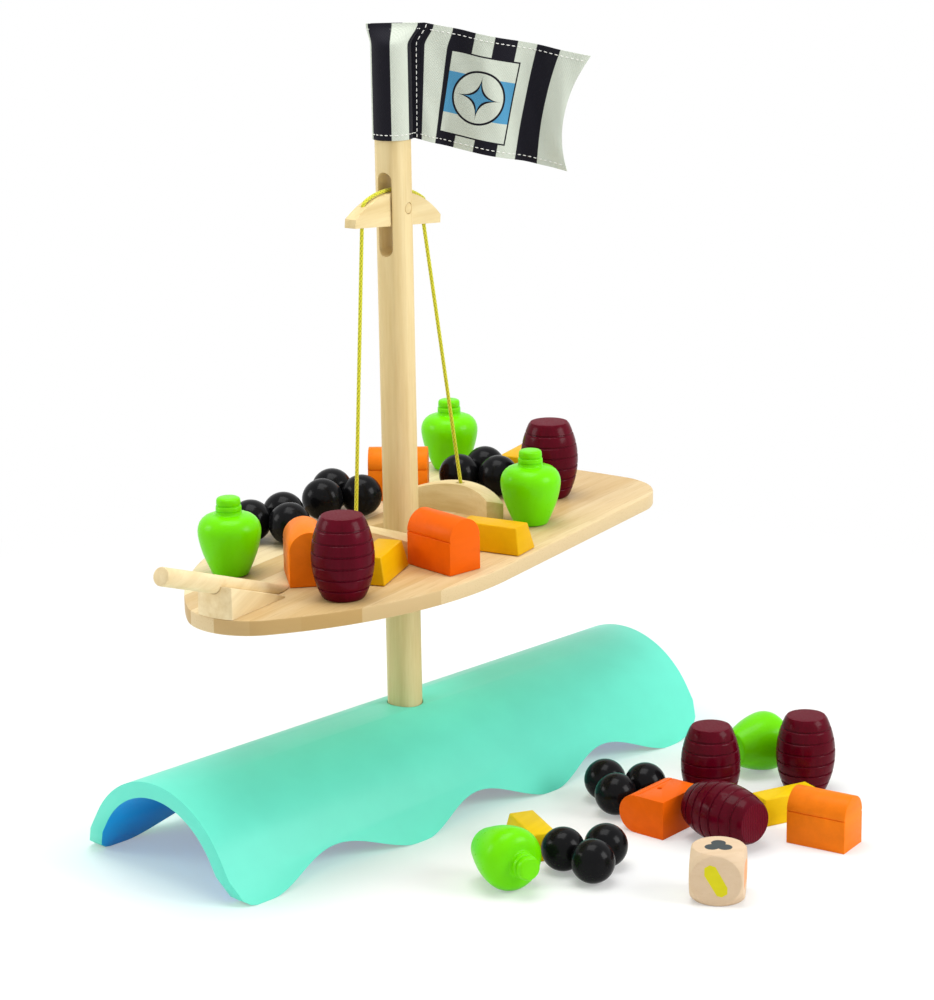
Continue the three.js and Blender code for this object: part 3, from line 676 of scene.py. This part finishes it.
def braid(name, route, diameter):
    """A tube along a route whose skin rises and falls as crossing strands do, keeping the painted shade of
    the crossings on its points.
    """
    sides = 16
    radius = diameter / 2
    end = len(route) - 1
    ways = [(route[min(i + 1, end)] - route[max(i - 1, 0)]).normalized() for i in range(len(route))]
    side = ways[0].orthogonal().normalized()
    points, painted_strand_shade = [], []
    run = 0.0
    for i, (middle, way) in enumerate(zip(route, ways)):
        side = (side - way * side.dot(way)).normalized()
        other = way.cross(side)
        run += (middle - route[i - 1]).length if i else 0.0
        turn = 2 * math.pi * run / (BRAID_PITCH * MM)
        for k in range(sides):
            angle = 2 * math.pi * k / sides
            left = abs(math.cos(BRAID_STRANDS * angle / 2 + turn))
            right = abs(math.cos(BRAID_STRANDS * angle / 2 - turn))
            strand = max(left, right)
            reach = radius * (0.78 + 0.22 * strand)
            points.append(middle + reach * (math.cos(angle) * side + math.sin(angle) * other))
            # Painted shade: how far the strand rises here, for darkening the colour where strands dip under.
            painted_strand_shade.append((strand - 0.6) / 0.4)
    last = end * sides
    faces = []
    for low in range(0, last, sides):
        for k in range(sides):
            after = (k + 1) % sides
            faces.append((low + k, low + after, low + sides + after, low + sides + k))
    faces += [tuple(range(sides))[::-1], tuple(range(last, last + sides))]
    piece = new_piece(name, points, faces)
    piece.data.attributes.new("strand", "FLOAT", "POINT").data.foreach_set("value", painted_strand_shade)
    face_outwards(piece)
    smooth(piece, 60)
    return piece


def cord_piece(node, body, route, material):
    piece = braid(node + "_braid", route, sizes().cord)
    paint(piece, material)
    return hand_over(piece, body, "cord", node)


class BOAT_OT_cords(bpy.types.Operator):
    """The braided cord: over the yard, down to both arches, and its knots"""
    bl_idname = "boat.cords"
    bl_label = "Cords"

    def execute(self, context):
        material = braided_cord()
        thick = sizes().cord
        radius = thick / 2 / MM
        lift = radius + SEAT_GAP
        shoulder = YARD_HOLE - 4 * radius
        rim = yard_top(YARD_HOLE, 0)
        half = [(YARD_HOLE, -YARD_BELOW), (YARD_HOLE, -YARD_BELOW / 2), (YARD_HOLE, rim - 2 * radius),
                (YARD_HOLE - 0.67 * radius, rim + radius), (shoulder, yard_top(shoulder, lift)),
                (YARD_HOLE / 2, yard_top(YARD_HOLE / 2, lift))]
        points = [on_yard(-x, z) for x, z in half] + [on_yard(0, yard_top(0, lift))]
        points += [on_yard(x, z) for x, z in reversed(half)]
        route = even_steps(points, BRAID_STEP)
        over = cord_piece("yard_cord", "yard", route, material)
        for name, side in (("fore", -1), ("aft", 1)):
            hole = Vector((DECK_SWAY + side * ARCH_HOLE, 0, DECK_TOP)) * MM
            turns = [i / 60 for i in range(61)]
            coil = [hole + Vector((KNOT_WIDE * math.cos(2 * math.pi * KNOT_TURNS * t) * (1 - t ** 6),
                                   KNOT_WIDE * math.sin(2 * math.pi * KNOT_TURNS * t) * (1 - t ** 6),
                                   KNOT_FOOT + KNOT_WIDE + KNOT_RISE * t)) * MM for t in turns]
            tail = hole + Vector((0, 0, ARCH_TOP - 1)) * MM
            cord_piece(f"{name}_knot", "cord_ends", even_steps(coil + [tail], KNOT_STEP), material)
            top = on_yard(side * YARD_HOLE, -YARD_BELOW - SEAT_GAP - radius)
            foot = hole + Vector((0, 0, ARCH_TOP + radius - 2 * SEAT_GAP)) * MM
            way = (foot - top).normalized() * radius * MM
            steps = round((foot - top).length / BRAID_STEP)
            line = [(top - way).lerp(foot + way, i / steps) for i in range(steps + 1)]
            hanging = cord_piece(f"{name}_cord", f"{name}_cord", line, material)
        return {"FINISHED"}


# Flag

FLAG_TURN = -57.6
FLAG_BOTTOM = 378
FLAG_HEIGHT = 62.5
FLAG_FLY = 92
FLAG_SEAM = 12.5
FLAG_DROOP = 12
FLAG_RAKE = 6.7
FLAG_FOLD_DEPTH = 3.5
FLAG_FOLD_LENGTH = 48
FLAG_EDGE_BOW = 8
FLAG_TOP_SHIFT = 6
MAST_TOP = 426
POCKET_RADIUS = 10.9
FLAP = 3
HEM = 3
STITCH = 3.2
THREAD = 0.28 * MM
THREAD_LIFT = 0.5
SEAM_INSET = 1.2
SEAM_LIFT = 1.25
MAP_UNIT = 100.0


def smooth_share(value, low, high):
    t = max(0.0, min(1.0, (value - low) / (high - low)))
    return t * t * (3 - 2 * t)


def on_flag(s, t, up):
    """The place of a point of the cloth: along the fly, out of it, and up its height."""
    top = FLAG_BOTTOM + FLAG_HEIGHT
    shoulder = MAST_TOP + 3
    z = FLAG_BOTTOM + up
    droop = math.radians(FLAG_DROOP)
    pinch = smooth_share(z, shoulder, top)
    out = max(0.0, s - FLAG_SEAM)
    hang = min(1.0, out / (FLAG_FLY / 4))
    down = z - top
    share = out / FLAG_FLY
    bow = FLAG_EDGE_BOW * share ** 6 * (1 - (2 * down / FLAG_HEIGHT + 1) ** 2)
    rake = down * hang * math.sin(math.radians(FLAG_RAKE))
    fold = FLAG_FOLD_DEPTH * hang * math.sin(2 * math.pi * out / FLAG_FOLD_LENGTH + 1.5 * down / FLAG_HEIGHT)
    fold += 0.35 * hang * math.sin(0.31 * out + 0.12 * up)
    fold += 0.3 * math.sin(0.23 * up + 0.4 * s) * min(1, hang + 0.3)
    in_pocket = s < FLAG_SEAM
    flat = 1 - pinch + 1.0 / POCKET_RADIUS * pinch
    x = s if in_pocket else FLAG_SEAM + out * math.cos(droop) + rake - bow
    lean = pinch + (up / FLAG_HEIGHT - pinch) * hang
    x += FLAG_TOP_SHIFT * lean * smooth_share(s, -2, 4) + 0.2 * min(s, 0) * pinch
    y = (t * flat if in_pocket else t) + fold
    turn = math.radians(FLAG_TURN)
    return Vector((x * math.cos(turn) - y * math.sin(turn), x * math.sin(turn) + y * math.cos(turn),
                   z - out * math.sin(droop))) * MM


def pocket_line():
    """Points round the pocket, from the near flap to the far one, with the cloth's run."""
    layer = 0.75
    root = math.asin(layer / POCKET_RADIUS)
    ring = [root + (2 * math.pi - 2 * root) * i / 72 for i in range(73)]
    line = [(FLAG_SEAM + FLAP, -layer), (FLAG_SEAM + FLAP / 2, -layer), (FLAG_SEAM, -layer)]
    line += [(POCKET_RADIUS * math.cos(a), -POCKET_RADIUS * math.sin(a)) for a in ring]
    line += [(FLAG_SEAM, layer), (FLAG_SEAM + FLAP / 2, layer), (FLAG_SEAM + FLAP, layer)]
    runs = [FLAP]
    for (ax, ay), (bx, by) in zip(line, line[1:]):
        runs.append(runs[-1] - math.hypot(bx - ax, by - ay))
    return line, runs


def cloth_strip(name, line, runs, rows=40):
    """A sheet whose columns follow a line in plan and whose map gives the cloth's own run and height."""
    columns = len(line)
    points = [on_flag(s, t, FLAG_HEIGHT * r / rows) for r in range(rows + 1) for s, t in line]
    faces = [(r * columns + c, r * columns + c + 1, (r + 1) * columns + c + 1, (r + 1) * columns + c)
             for r in range(rows) for c in range(columns - 1)]
    piece = new_piece(name, points, faces)
    place = piece.data.uv_layers.new(name="Cloth")
    for loop in piece.data.loops:
        row, column = divmod(loop.vertex_index, columns)
        place.data[loop.index].uv = (runs[column] / MAP_UNIT + 1, FLAG_HEIGHT * row / rows / MAP_UNIT)
    return piece


PANEL_MIDDLE = 36.8
PANEL_HEIGHT = 29
PANEL_HALF_WIDE = 19
PANEL_HALF_TALL = 22.4
PANEL_LINE = 0.9
STRIPES_END = 84
STRIPE_HALF = 6.2
STRIPE_SHIFT = 1.2
BAND_HALF = 11.0
RING_RADIUS = 14
STAR_RADIUS = 12.5


def flag_cloth():
    """Striped cotton with a bordered panel that carries a plain compass star in a ring."""
    tints = colours()
    material, tree, shader = new_material("Striped cotton", 0.85, Sheen_Weight=0.08, Specular_IOR_Level=0.15)
    place = add(tree, "UVMap", uv_map="Cloth").outputs[0]
    weave = use(tree, "Plain weave", {"Vector": place, "Threads": 140.0})
    parts = parts_of(tree, place)
    run = times(tree, parts[0], MAP_UNIT, -MAP_UNIT)
    height = times(tree, parts[1], MAP_UNIT)
    pitch = sizes().stripe / MM
    turn = maths(tree, "ADD", maths(tree, "DIVIDE", maths(tree, "ADD", run, STRIPE_SHIFT), pitch), 10.5)
    off = times(tree, off_middle(tree, maths(tree, "FRACT", turn), 0.5), pitch)
    past = spread(tree, run, STRIPES_END - 0.1, STRIPES_END + 0.1)
    pale = maths(tree, "MAXIMUM", spread(tree, off, STRIPE_HALF, STRIPE_HALF + 0.3), past)
    striped = blend(tree, pale, tints.flag_dark, tints.flag_white)
    wide, tall = off_middle(tree, run, PANEL_MIDDLE), off_middle(tree, height, PANEL_HEIGHT)
    past_side = maths(tree, "SUBTRACT", wide, PANEL_HALF_WIDE)
    edge = maths(tree, "MAXIMUM", past_side, maths(tree, "SUBTRACT", tall, PANEL_HALF_TALL))
    reach = maths(tree, "SQRT", times(tree, wide, wide, times(tree, tall, tall)))
    field = blend(tree, spread(tree, tall, BAND_HALF, BAND_HALF + 0.2), tints.flag_blue, tints.flag_white)
    disc = blend(tree, spread(tree, reach, RING_RADIUS - 0.1, RING_RADIUS + 0.1), tints.flag_white, field)
    ring_off = off_middle(tree, reach, RING_RADIUS)
    ringed = blend(tree, spread(tree, ring_off, 0.5, 0.65), tints.flag_dark, disc)
    arms = maths(tree, "ADD", maths(tree, "SQRT", wide), maths(tree, "SQRT", tall))
    tip = math.sqrt(STAR_RADIUS)
    star = blend(tree, spread(tree, arms, tip - 0.03, tip), tints.flag_dark, ringed)
    core = blend(tree, spread(tree, arms, tip - 0.55, tip - 0.5), tints.flag_blue, star)
    bordered = blend(tree, spread(tree, edge, -PANEL_LINE, -PANEL_LINE + 0.15), core, tints.flag_dark)
    whole = blend(tree, spread(tree, edge, -0.05, 0.05), bordered, striped)
    # The weave's painted shade darkens the cloth's colour where threads dip under.
    feed(tree, shader, Base_Color=shaded(tree, whole, weave["Shade"]),
         Normal=bump(tree, weave["Height"], 0.25, 0.0002))
    return material


def stitches(line):
    """For each stitch its two ends and the cloth under the first, in the flag's own measures."""
    ends = []
    count = round(FLAG_FLY / STITCH)
    fly = FLAG_FLY - FLAP - 2
    grow = 1 + THREAD_LIFT / POCKET_RADIUS
    for up in (HEM, FLAG_HEIGHT - HEM):
        for i in range(count):
            a = FLAG_SEAM + FLAP + 1 + fly * i / count
            b = a + 0.62 * fly / count
            ends += [((a, lift, up), (b, lift, up), (a, 0, up)) for lift in (-THREAD_LIFT, THREAD_LIFT)]
        for i in range(2, len(line) - 4, 3):
            (ax, ay), (bx, by) = line[i], line[i + 2]
            ends.append(((ax * grow, ay * grow, up), (bx * grow, by * grow, up), (ax, ay, up)))
    rows = round(FLAG_HEIGHT / STITCH)
    seam = FLAG_SEAM + SEAM_INSET
    for i in range(rows):
        a, b = (FLAG_HEIGHT * (i + share) / rows for share in (0.2, 0.85))
        ends += [((seam, lift, a), (seam, lift, b), (seam, 0, a)) for lift in (-SEAM_LIFT, SEAM_LIFT)]
    return ends


def threads(line):
    """Points and faces of the stitches, each a stretched six-sided bead."""
    points, faces = [], []
    for places in stitches(line):
        start, end, under = (on_flag(*place) for place in places)
        out = (start - under).normalized()
        way = end - start
        across = way.cross(out).normalized()
        base = len(points)
        for share, swell in ((0.0, 0.3), (0.15, 0.85), (0.5, 1.0), (0.85, 0.85), (1.0, 0.3)):
            middle = start + way * share
            for k in range(6):
                angle = math.pi * k / 3
                points.append(middle + THREAD * swell * (math.cos(angle) * across + math.sin(angle) * out))
        for ring in range(4):
            for k in range(6):
                a, b = base + ring * 6 + k, base + ring * 6 + (k + 1) % 6
                faces.append((a, b, b + 6, a + 6))
        faces.append(tuple(base + k for k in range(6))[::-1])
        faces.append(tuple(base + 24 + k for k in range(6)))
    return points, faces


class BOAT_OT_flag(bpy.types.Operator):
    """The sewn flag: a pocket over the mast, a folded fly and its stitching"""
    bl_idname = "boat.flag"
    bl_label = "Flag"

    def execute(self, context):
        material = flag_cloth()
        line, runs = pocket_line()
        pocket = cloth_strip("flag_cloth", line, runs)
        start = FLAG_SEAM - 1
        steps = 96
        fly = [(start + (FLAG_FLY + 1) * i / steps, 0.0) for i in range(steps + 1)]
        sheet = cloth_strip("flag_fly", fly, [s - FLAG_SEAM for s, _ in fly])
        alone(pocket)
        sheet.select_set(True)
        bpy.ops.object.join()
        wall = pocket.modifiers.new("Cloth", "SOLIDIFY")
        wall.thickness = sizes().cloth
        wall.offset = 0
        apply_all(pocket)
        smooth(pocket, 50)
        paint(pocket, material)
        hand_over(pocket, "flag", "flag_cloth", "flag")
        stitching = new_piece("flag_stitching", *threads(line))
        face_outwards(stitching)
        smooth(stitching, 60)
        thread, tree, shader = new_material("White thread", 0.7, Sheen_Weight=0.2)
        fuzz = spread(tree, noise(tree, object_place(tree), 3000.0), 0.3, 0.7, 0.88, 1.0)
        feed(tree, shader, Base_Color=shaded(tree, srgb(240, 240, 234), fuzz))
        paint(stitching, thread)
        hand_over(stitching, "flag", "flag_cloth")
        return {"FINISHED"}


# Stand, mast and deck

WAVE_TURN = -12.5
WAVE_AXIS = -6.5
WAVE_INSIDE = -0.75
BOWSPRIT_RISE = 19.5


class BOAT_OT_stand(bpy.types.Operator):
    """The bent-wood wave, mint outside and blue inside, and the step under its crown"""
    bl_idname = "boat.stand"
    bl_label = "Stand"

    def execute(self, context):
        wave = copy_solid("wave_base")
        round_edges(wave, 1.4 * sizes().edge, angle=40, segments=3)
        smooth(wave, 32)
        outside = lacquer("Mint lacquer", colours().mint, 0.42, 0.15)
        paint(wave, outside, lacquer("Blue lacquer", colours().blue, 0.45))
        turn = Matrix.Rotation(math.radians(-WAVE_TURN), 3, "Z")
        for face in wave.data.polygons:
            place, normal = turn @ face.center, turn @ face.normal
            out = Vector((0, place.y, place.z - WAVE_AXIS * MM)).normalized()
            face.material_index = 1 if normal.dot(out) < WAVE_INSIDE else 0
        hand_over(wave, "base", "mint_lacquer", "wave_base")
        step_wood = plain_wood("Step wood", colours().mast_wood, (0, 0, -WAVE_TURN))
        finished_solid("mast_step", "base", "beech", step_wood, sizes().edge)
        return {"FINISHED"}


class BOAT_OT_mast(bpy.types.Operator):
    """The slotted mast, its pin and the rocking yard"""
    bl_idname = "boat.mast"
    bl_label = "Mast"

    def execute(self, context):
        up = plain_wood("Mast wood", colours().mast_wood, (0, 90, 0))
        along = plain_wood("Yard wood", colours().mast_wood)
        finished_solid("mast", "mast", "beech", up, 0.5 * sizes().edge, angle=50)
        finished_solid("yard_pin", "mast", "beech", along, 0.5 * sizes().edge, angle=50)
        finished_solid("yard", "yard", "beech", along, 0.6 * sizes().edge, angle=50)
        return {"FINISHED"}


class BOAT_OT_deck(bpy.types.Operator):
    """The laminated deck with its arches, bowsprit and grooved block"""
    bl_idname = "boat.deck"
    bl_label = "Deck"

    def execute(self, context):
        across = plain_wood("Arch wood", colours().mast_wood, (0, 0, 90))
        slant = plain_wood("Bowsprit wood", colours().deck_wood, (0, BOWSPRIT_RISE, 0))
        finished_solid("deck", "deck", "deck_wood", deck_wood(), sizes().edge, angle=40)
        for node in ("fore_arch", "aft_arch"):
            finished_solid(node, "deck", "beech", across, sizes().edge, angle=50)
        finished_solid("bowsprit", "deck", "beech", slant, sizes().edge, angle=40)
        finished_solid("bowsprit_block", "deck", "beech", slant, 0.6 * sizes().edge, angle=40)
        return {"FINISHED"}


# Cargo

JAR_PROFILE = (
    (9.0, 0), (9.7, 0.25), (10.1, 0.9), (11.3, 3.6), (13.2, 7.9), (14.8, 12), (16.0, 16), (16.8, 19.6),
    (17.25, 22.8), (17.3, 25), (17.0, 27), (16.2, 29.2), (14.9, 31), (13.2, 32.4), (11.2, 33.2), (9.2, 33.6),
    (7.9, 33.8), (7.3, 34.2), (7.1, 35), (7.05, 35.7), (6.7, 35.9), (6.7, 36.1), (7.05, 36.3), (7.0, 38.0),
    (6.8, 38.5), (6.25, 38.7), (6.2, 39.0), (6.6, 39.3), (6.65, 39.8), (6.5, 41.9), (6.1, 42.6), (5.3, 43.0),
    (2.0, 43.0))
JAR_TALL = 43
BARREL_TALL = 45
BARREL_END = 11.4
BARREL_SWELL = 5.6
BARREL_BANDS = 7
GROOVE = 0.8
GROOVE_STEPS = ((-0.75, 0.02), (-0.5, 0.25), (-0.3, 0.9), (0.3, 0.9), (0.5, 0.25), (0.75, 0.02))
BARREL_RIM = ((-1.2, 0), (-0.3, 0.2), (0.15, 0.8))
BALL_RADIUS = 12
BALL_RING = 13.625
TRIO_TURNS = (14.2, 51.3, 21, 74.5, 102.6)


def barrel_radius(z):
    return BARREL_END + BARREL_SWELL * (1 - (2 * z / BARREL_TALL - 1) ** 2)


def barrel_profile():
    rim = [(BARREL_END + reach, inset) for reach, inset in BARREL_RIM]
    profile = list(rim)
    for band in range(BARREL_BANDS):
        low = BARREL_TALL * band / BARREL_BANDS
        high = BARREL_TALL * (band + 1) / BARREL_BANDS
        for share in (0.22, 0.5, 0.78):
            z = low + (high - low) * share
            profile.append((barrel_radius(z), z))
        if band < BARREL_BANDS - 1:
            for rise, sink in GROOVE_STEPS:
                profile.append((barrel_radius(high + rise) - GROOVE * sink, high + rise))
    profile += [(radius, BARREL_TALL - inset) for radius, inset in reversed(rim)]
    return profile + [(4, BARREL_TALL)]


class BOAT_OT_jars(bpy.types.Operator):
    """The green jars"""
    bl_idname = "boat.jars"
    bl_label = "Jars"

    def execute(self, context):
        jar = turn_up("jar", JAR_PROFILE)
        smooth(jar, 50)
        paint(jar, painted_wood("Green paint", colours().jar, 0.3, 0.1, (0, 90, 0), 0.1))
        places = {node: standing(node) for node in ("jar_1", "jar_2", "jar_3")}
        places["jar_4"] = lying("jar_4", -115, JAR_TALL * MM)
        places["jar_5"] = lying("jar_5", -22, JAR_TALL * MM)
        place_copies(jar, places, "green_paint")
        return {"FINISHED"}


class BOAT_OT_barrels(bpy.types.Operator):
    """The grooved, stained barrels"""
    bl_idname = "boat.barrels"
    bl_label = "Barrels"

    def execute(self, context):
        barrel = turn_up("barrel", barrel_profile())
        smooth(barrel, 30)
        stain = colours().barrel
        staves = painted_wood("Maroon stain", stain, 0.24, 0.8, (0, 90, 0), 0.1, 0.03)
        paint(barrel, staves, sawn_end("Maroon end", stain))
        for face in barrel.data.polygons:
            face.material_index = 1 if abs(face.normal.z) > 0.9 else 0
        places = {node: standing(node) for node in ("barrel_1", "barrel_2", "barrel_3", "barrel_4")}
        places["barrel_5"] = lying("barrel_5", -105, BARREL_TALL * MM)
        place_copies(barrel, places, "maroon_paint")
        return {"FINISHED"}


class BOAT_OT_ball_trios(bpy.types.Operator):
    """The black balls, glued in threes"""
    bl_idname = "boat.ball_trios"
    bl_label = "Ball trios"

    def execute(self, context):
        balls = []
        for i in range(3):
            angle = math.radians(120 * i)
            place = Vector((BALL_RING * math.cos(angle), BALL_RING * math.sin(angle), BALL_RADIUS)) * MM
            bpy.ops.mesh.primitive_uv_sphere_add(segments=40, ring_count=24, radius=BALL_RADIUS * MM)
            settle(context.active_object, Matrix.Translation(place))
            balls.append(context.active_object)
        trio = balls[0]
        trio.name = "ball_trio"
        for other in balls[1:]:
            union = trio.modifiers.new("Glued", "BOOLEAN")
            union.operation = "UNION"
            union.solver = "EXACT"
            union.object = other
            apply_all(trio)
            bpy.data.objects.remove(other)
        smooth(trio, 40)
        paint(trio, painted_wood("Black paint", colours().ball, 0.22, 0.2, (0, 90, 0), 0.1, 0.04))
        nodes = [f"ball_trio_{i + 1}" for i in range(len(TRIO_TURNS))]
        places = {node: standing_trio(node, turn) for node, turn in zip(nodes, TRIO_TURNS)}
        place_copies(trio, places, "black_paint")
        return {"FINISHED"}


def standing_trio(node, turn):
    """The place of a trio from its box, whose middle isn't the trio's own."""
    low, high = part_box(node)
    angles = [math.radians(turn + 120 * i) for i in range(3)]
    across = [BALL_RING * math.cos(a) for a in angles]
    along = [BALL_RING * math.sin(a) for a in angles]
    x = (low.x + high.x) / 2 - (min(across) + max(across)) / 2 * MM
    y = (low.y + high.y) / 2 - (min(along) + max(along)) / 2 * MM
    return Matrix.Translation((x, y, low.z)) @ spun(turn)


def painted_set(kind, slot, finishes, edge, angle, segments=2):
    for number, finish in enumerate(finishes, 1):
        node = f"{kind}_{number}"
        finished_solid(node, node, slot, finish, edge, angle, segments)


class BOAT_OT_chests(bpy.types.Operator):
    """The orange chests with their lid lines and keyholes"""
    bl_idname = "boat.chests"
    bl_label = "Chests"

    def execute(self, context):
        # A deeper and a paler tone of the same orange, given to the chests in turn; the paler one lets a
        # little more grain show.
        deeper_tone = painted_wood("Orange paint", colours().chest, 0.45, 0.2)
        thin = painted_wood("Paler orange paint", colours().chest_pale, 0.45, 0.3)
        painted_set("chest", "orange_paint", (thin, deeper_tone, thin, deeper_tone, thin), 0.3 * sizes().edge, 50)
        return {"FINISHED"}


class BOAT_OT_ingots(bpy.types.Operator):
    """The yellow ingots"""
    bl_idname = "boat.ingots"
    bl_label = "Ingots"

    def execute(self, context):
        # A deeper tone of the same yellow for the first three ingots and a paler one for the last two; the
        # paler one lets a little more grain show.
        deeper_tone = painted_wood("Yellow paint", colours().ingot, 0.42, 0.18)
        thin = painted_wood("Paler yellow paint", colours().ingot_pale, 0.42, 0.25)
        painted_set("ingot", "yellow_paint", (deeper_tone, deeper_tone, deeper_tone, thin, thin), sizes().edge, 30, 3)
        return {"FINISHED"}


DIE_SIZE = 28.5
DIE_TURN = 22.3
MARK_PROUD = 0.06
MARK_SUNK = 0.25
DIE_GRAIN = 40
LEAF = 3.9
LEAF_SPREAD = 118


def mark(name, outline, side, material):
    """A painted mark on one side of the die, raised from an outline in millimetres about its middle."""
    low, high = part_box("die")
    middle = (low + high) / 2
    foot = DIE_SIZE / 2 - MARK_SUNK
    piece = new_piece(name, [Vector((x, y, foot)) * MM for x, y in outline], [tuple(range(len(outline)))])
    edit(piece)
    bpy.ops.mesh.extrude_region_move(TRANSFORM_OT_translate={"value": (0, 0, (MARK_SUNK + MARK_PROUD) * MM)})
    leave_edit()
    face_outwards(piece)
    settle(piece, Matrix.Translation(middle) @ spun(DIE_TURN) @ side)
    paint(piece, material)
    return hand_over(piece, "die", "die_wood")


def ring_of(x, y, radius, first=0, last=360, steps=18):
    angles = [math.radians(first + (last - first) * i / steps) for i in range(steps + 1)]
    return [(x + radius * math.cos(a), y + radius * math.sin(a)) for a in angles]


class BOAT_OT_die(bpy.types.Operator):
    """The wooden die with a painted mark for each kind of cargo"""
    bl_idname = "boat.die"
    bl_label = "Die"

    def execute(self, context):
        plain = plain_wood("Die wood", colours().die, (0, 0, DIE_GRAIN), 0.55, 0.3)
        finished_solid("die", "die", "die_wood", plain, 1.6 * sizes().edge, angle=30, segments=4)
        trefoil = []
        for turn in (90, 210, 330):
            x, y = (LEAF * part(math.radians(turn)) for part in (math.cos, math.sin))
            trefoil += ring_of(x, y, LEAF, turn - LEAF_SPREAD, turn + LEAF_SPREAD)
        bar = [(-6.0, 7.0), (-3.2, 8.8), (-0.2, 7.9), (6.1, -3.4), (6.0, -6.9), (3.2, -8.8), (0.6, -8.2),
               (-6.0, 2.8)]
        lid = [(-8, -6.5), (8, -6.5), (8, 2)] + ring_of(4, 2, 4, 0, 90, 6) + ring_of(-4, 2, 4, 90, 180, 6)
        lid += [(-8, 2)]
        cask = [(-3.6, -8)] + [(3.6 + 2 * (1 - (z / 8) ** 2), z) for z in range(-8, 9, 2)]
        cask += [(-3.6 - 2 * (1 - (z / 8) ** 2), z) for z in range(8, -8, -2)]
        pot = [(3.4, -8), (6, 1), (4.6, 4), (2.2, 5), (2.2, 8)]
        pot = [(-3.4, -8)] + pot + [(-x, y) for x, y in reversed(pot[1:])]
        spot = ring_of(0, 0, 5.5, 0, 345, 23)
        sides = [spun(a) @ spun(90, "X") for a in (0, 90, 180, 270)]
        marks = (("trefoil", trefoil, spun(35), srgb(62, 70, 72)),
                 ("bar", bar, sides[3], srgb(220, 212, 30)), ("lid", lid, sides[0], srgb(240, 160, 96)),
                 ("cask", cask, sides[1], srgb(120, 34, 56)), ("pot", pot, sides[2], srgb(116, 190, 40)),
                 ("spot", spot, spun(180, "X"), srgb(60, 130, 180)))
        for name, outline, side, tint in marks:
            finish = painted_wood("Die mark " + name, tint, 0.5, 0.15, (0, 0, DIE_GRAIN), 0.1)
            mark("die_" + name, outline, side, finish)
        return {"FINISHED"}


class BOAT_PT_panel(bpy.types.Panel):
    """The makers of the boat's pieces, in order"""
    bl_idname = "BOAT_PT_panel"
    bl_label = "Balancing boat"
    bl_space_type = "VIEW_3D"
    bl_region_type = "UI"
    bl_category = "Boat"

    def draw(self, context):
        for maker in MAKERS:
            self.layout.operator(maker.bl_idname)
        for settings in (context.scene.boat_colours, context.scene.boat_sizes):
            for key in settings.__annotations__:
                self.layout.prop(settings, key)


MAKERS = (BOAT_OT_stage, BOAT_OT_cords, BOAT_OT_flag, BOAT_OT_stand, BOAT_OT_mast, BOAT_OT_deck, BOAT_OT_jars,
          BOAT_OT_barrels, BOAT_OT_ball_trios, BOAT_OT_chests, BOAT_OT_ingots, BOAT_OT_die)
CLASSES = (BoatColours, BoatSizes) + MAKERS + (BOAT_PT_panel,)


def register():
    for each in CLASSES:
        bpy.utils.register_class(each)
    bpy.types.Scene.boat_colours = bpy.props.PointerProperty(type=BoatColours)
    bpy.types.Scene.boat_sizes = bpy.props.PointerProperty(type=BoatSizes)


def unregister():
    del bpy.types.Scene.boat_sizes
    del bpy.types.Scene.boat_colours
    for each in reversed(CLASSES):
        bpy.utils.unregister_class(each)


def main():
    register()
    make_grain_group()
    make_film_group()
    make_weave_group()
    bpy.ops.boat.stage()
    bpy.ops.boat.cords()
    bpy.ops.boat.flag()
    bpy.ops.boat.stand()
    bpy.ops.boat.mast()
    bpy.ops.boat.deck()
    bpy.ops.boat.jars()
    bpy.ops.boat.barrels()
    bpy.ops.boat.ball_trios()
    bpy.ops.boat.chests()
    bpy.ops.boat.ingots()
    bpy.ops.boat.die()


if __name__ == "__main__":
    main()
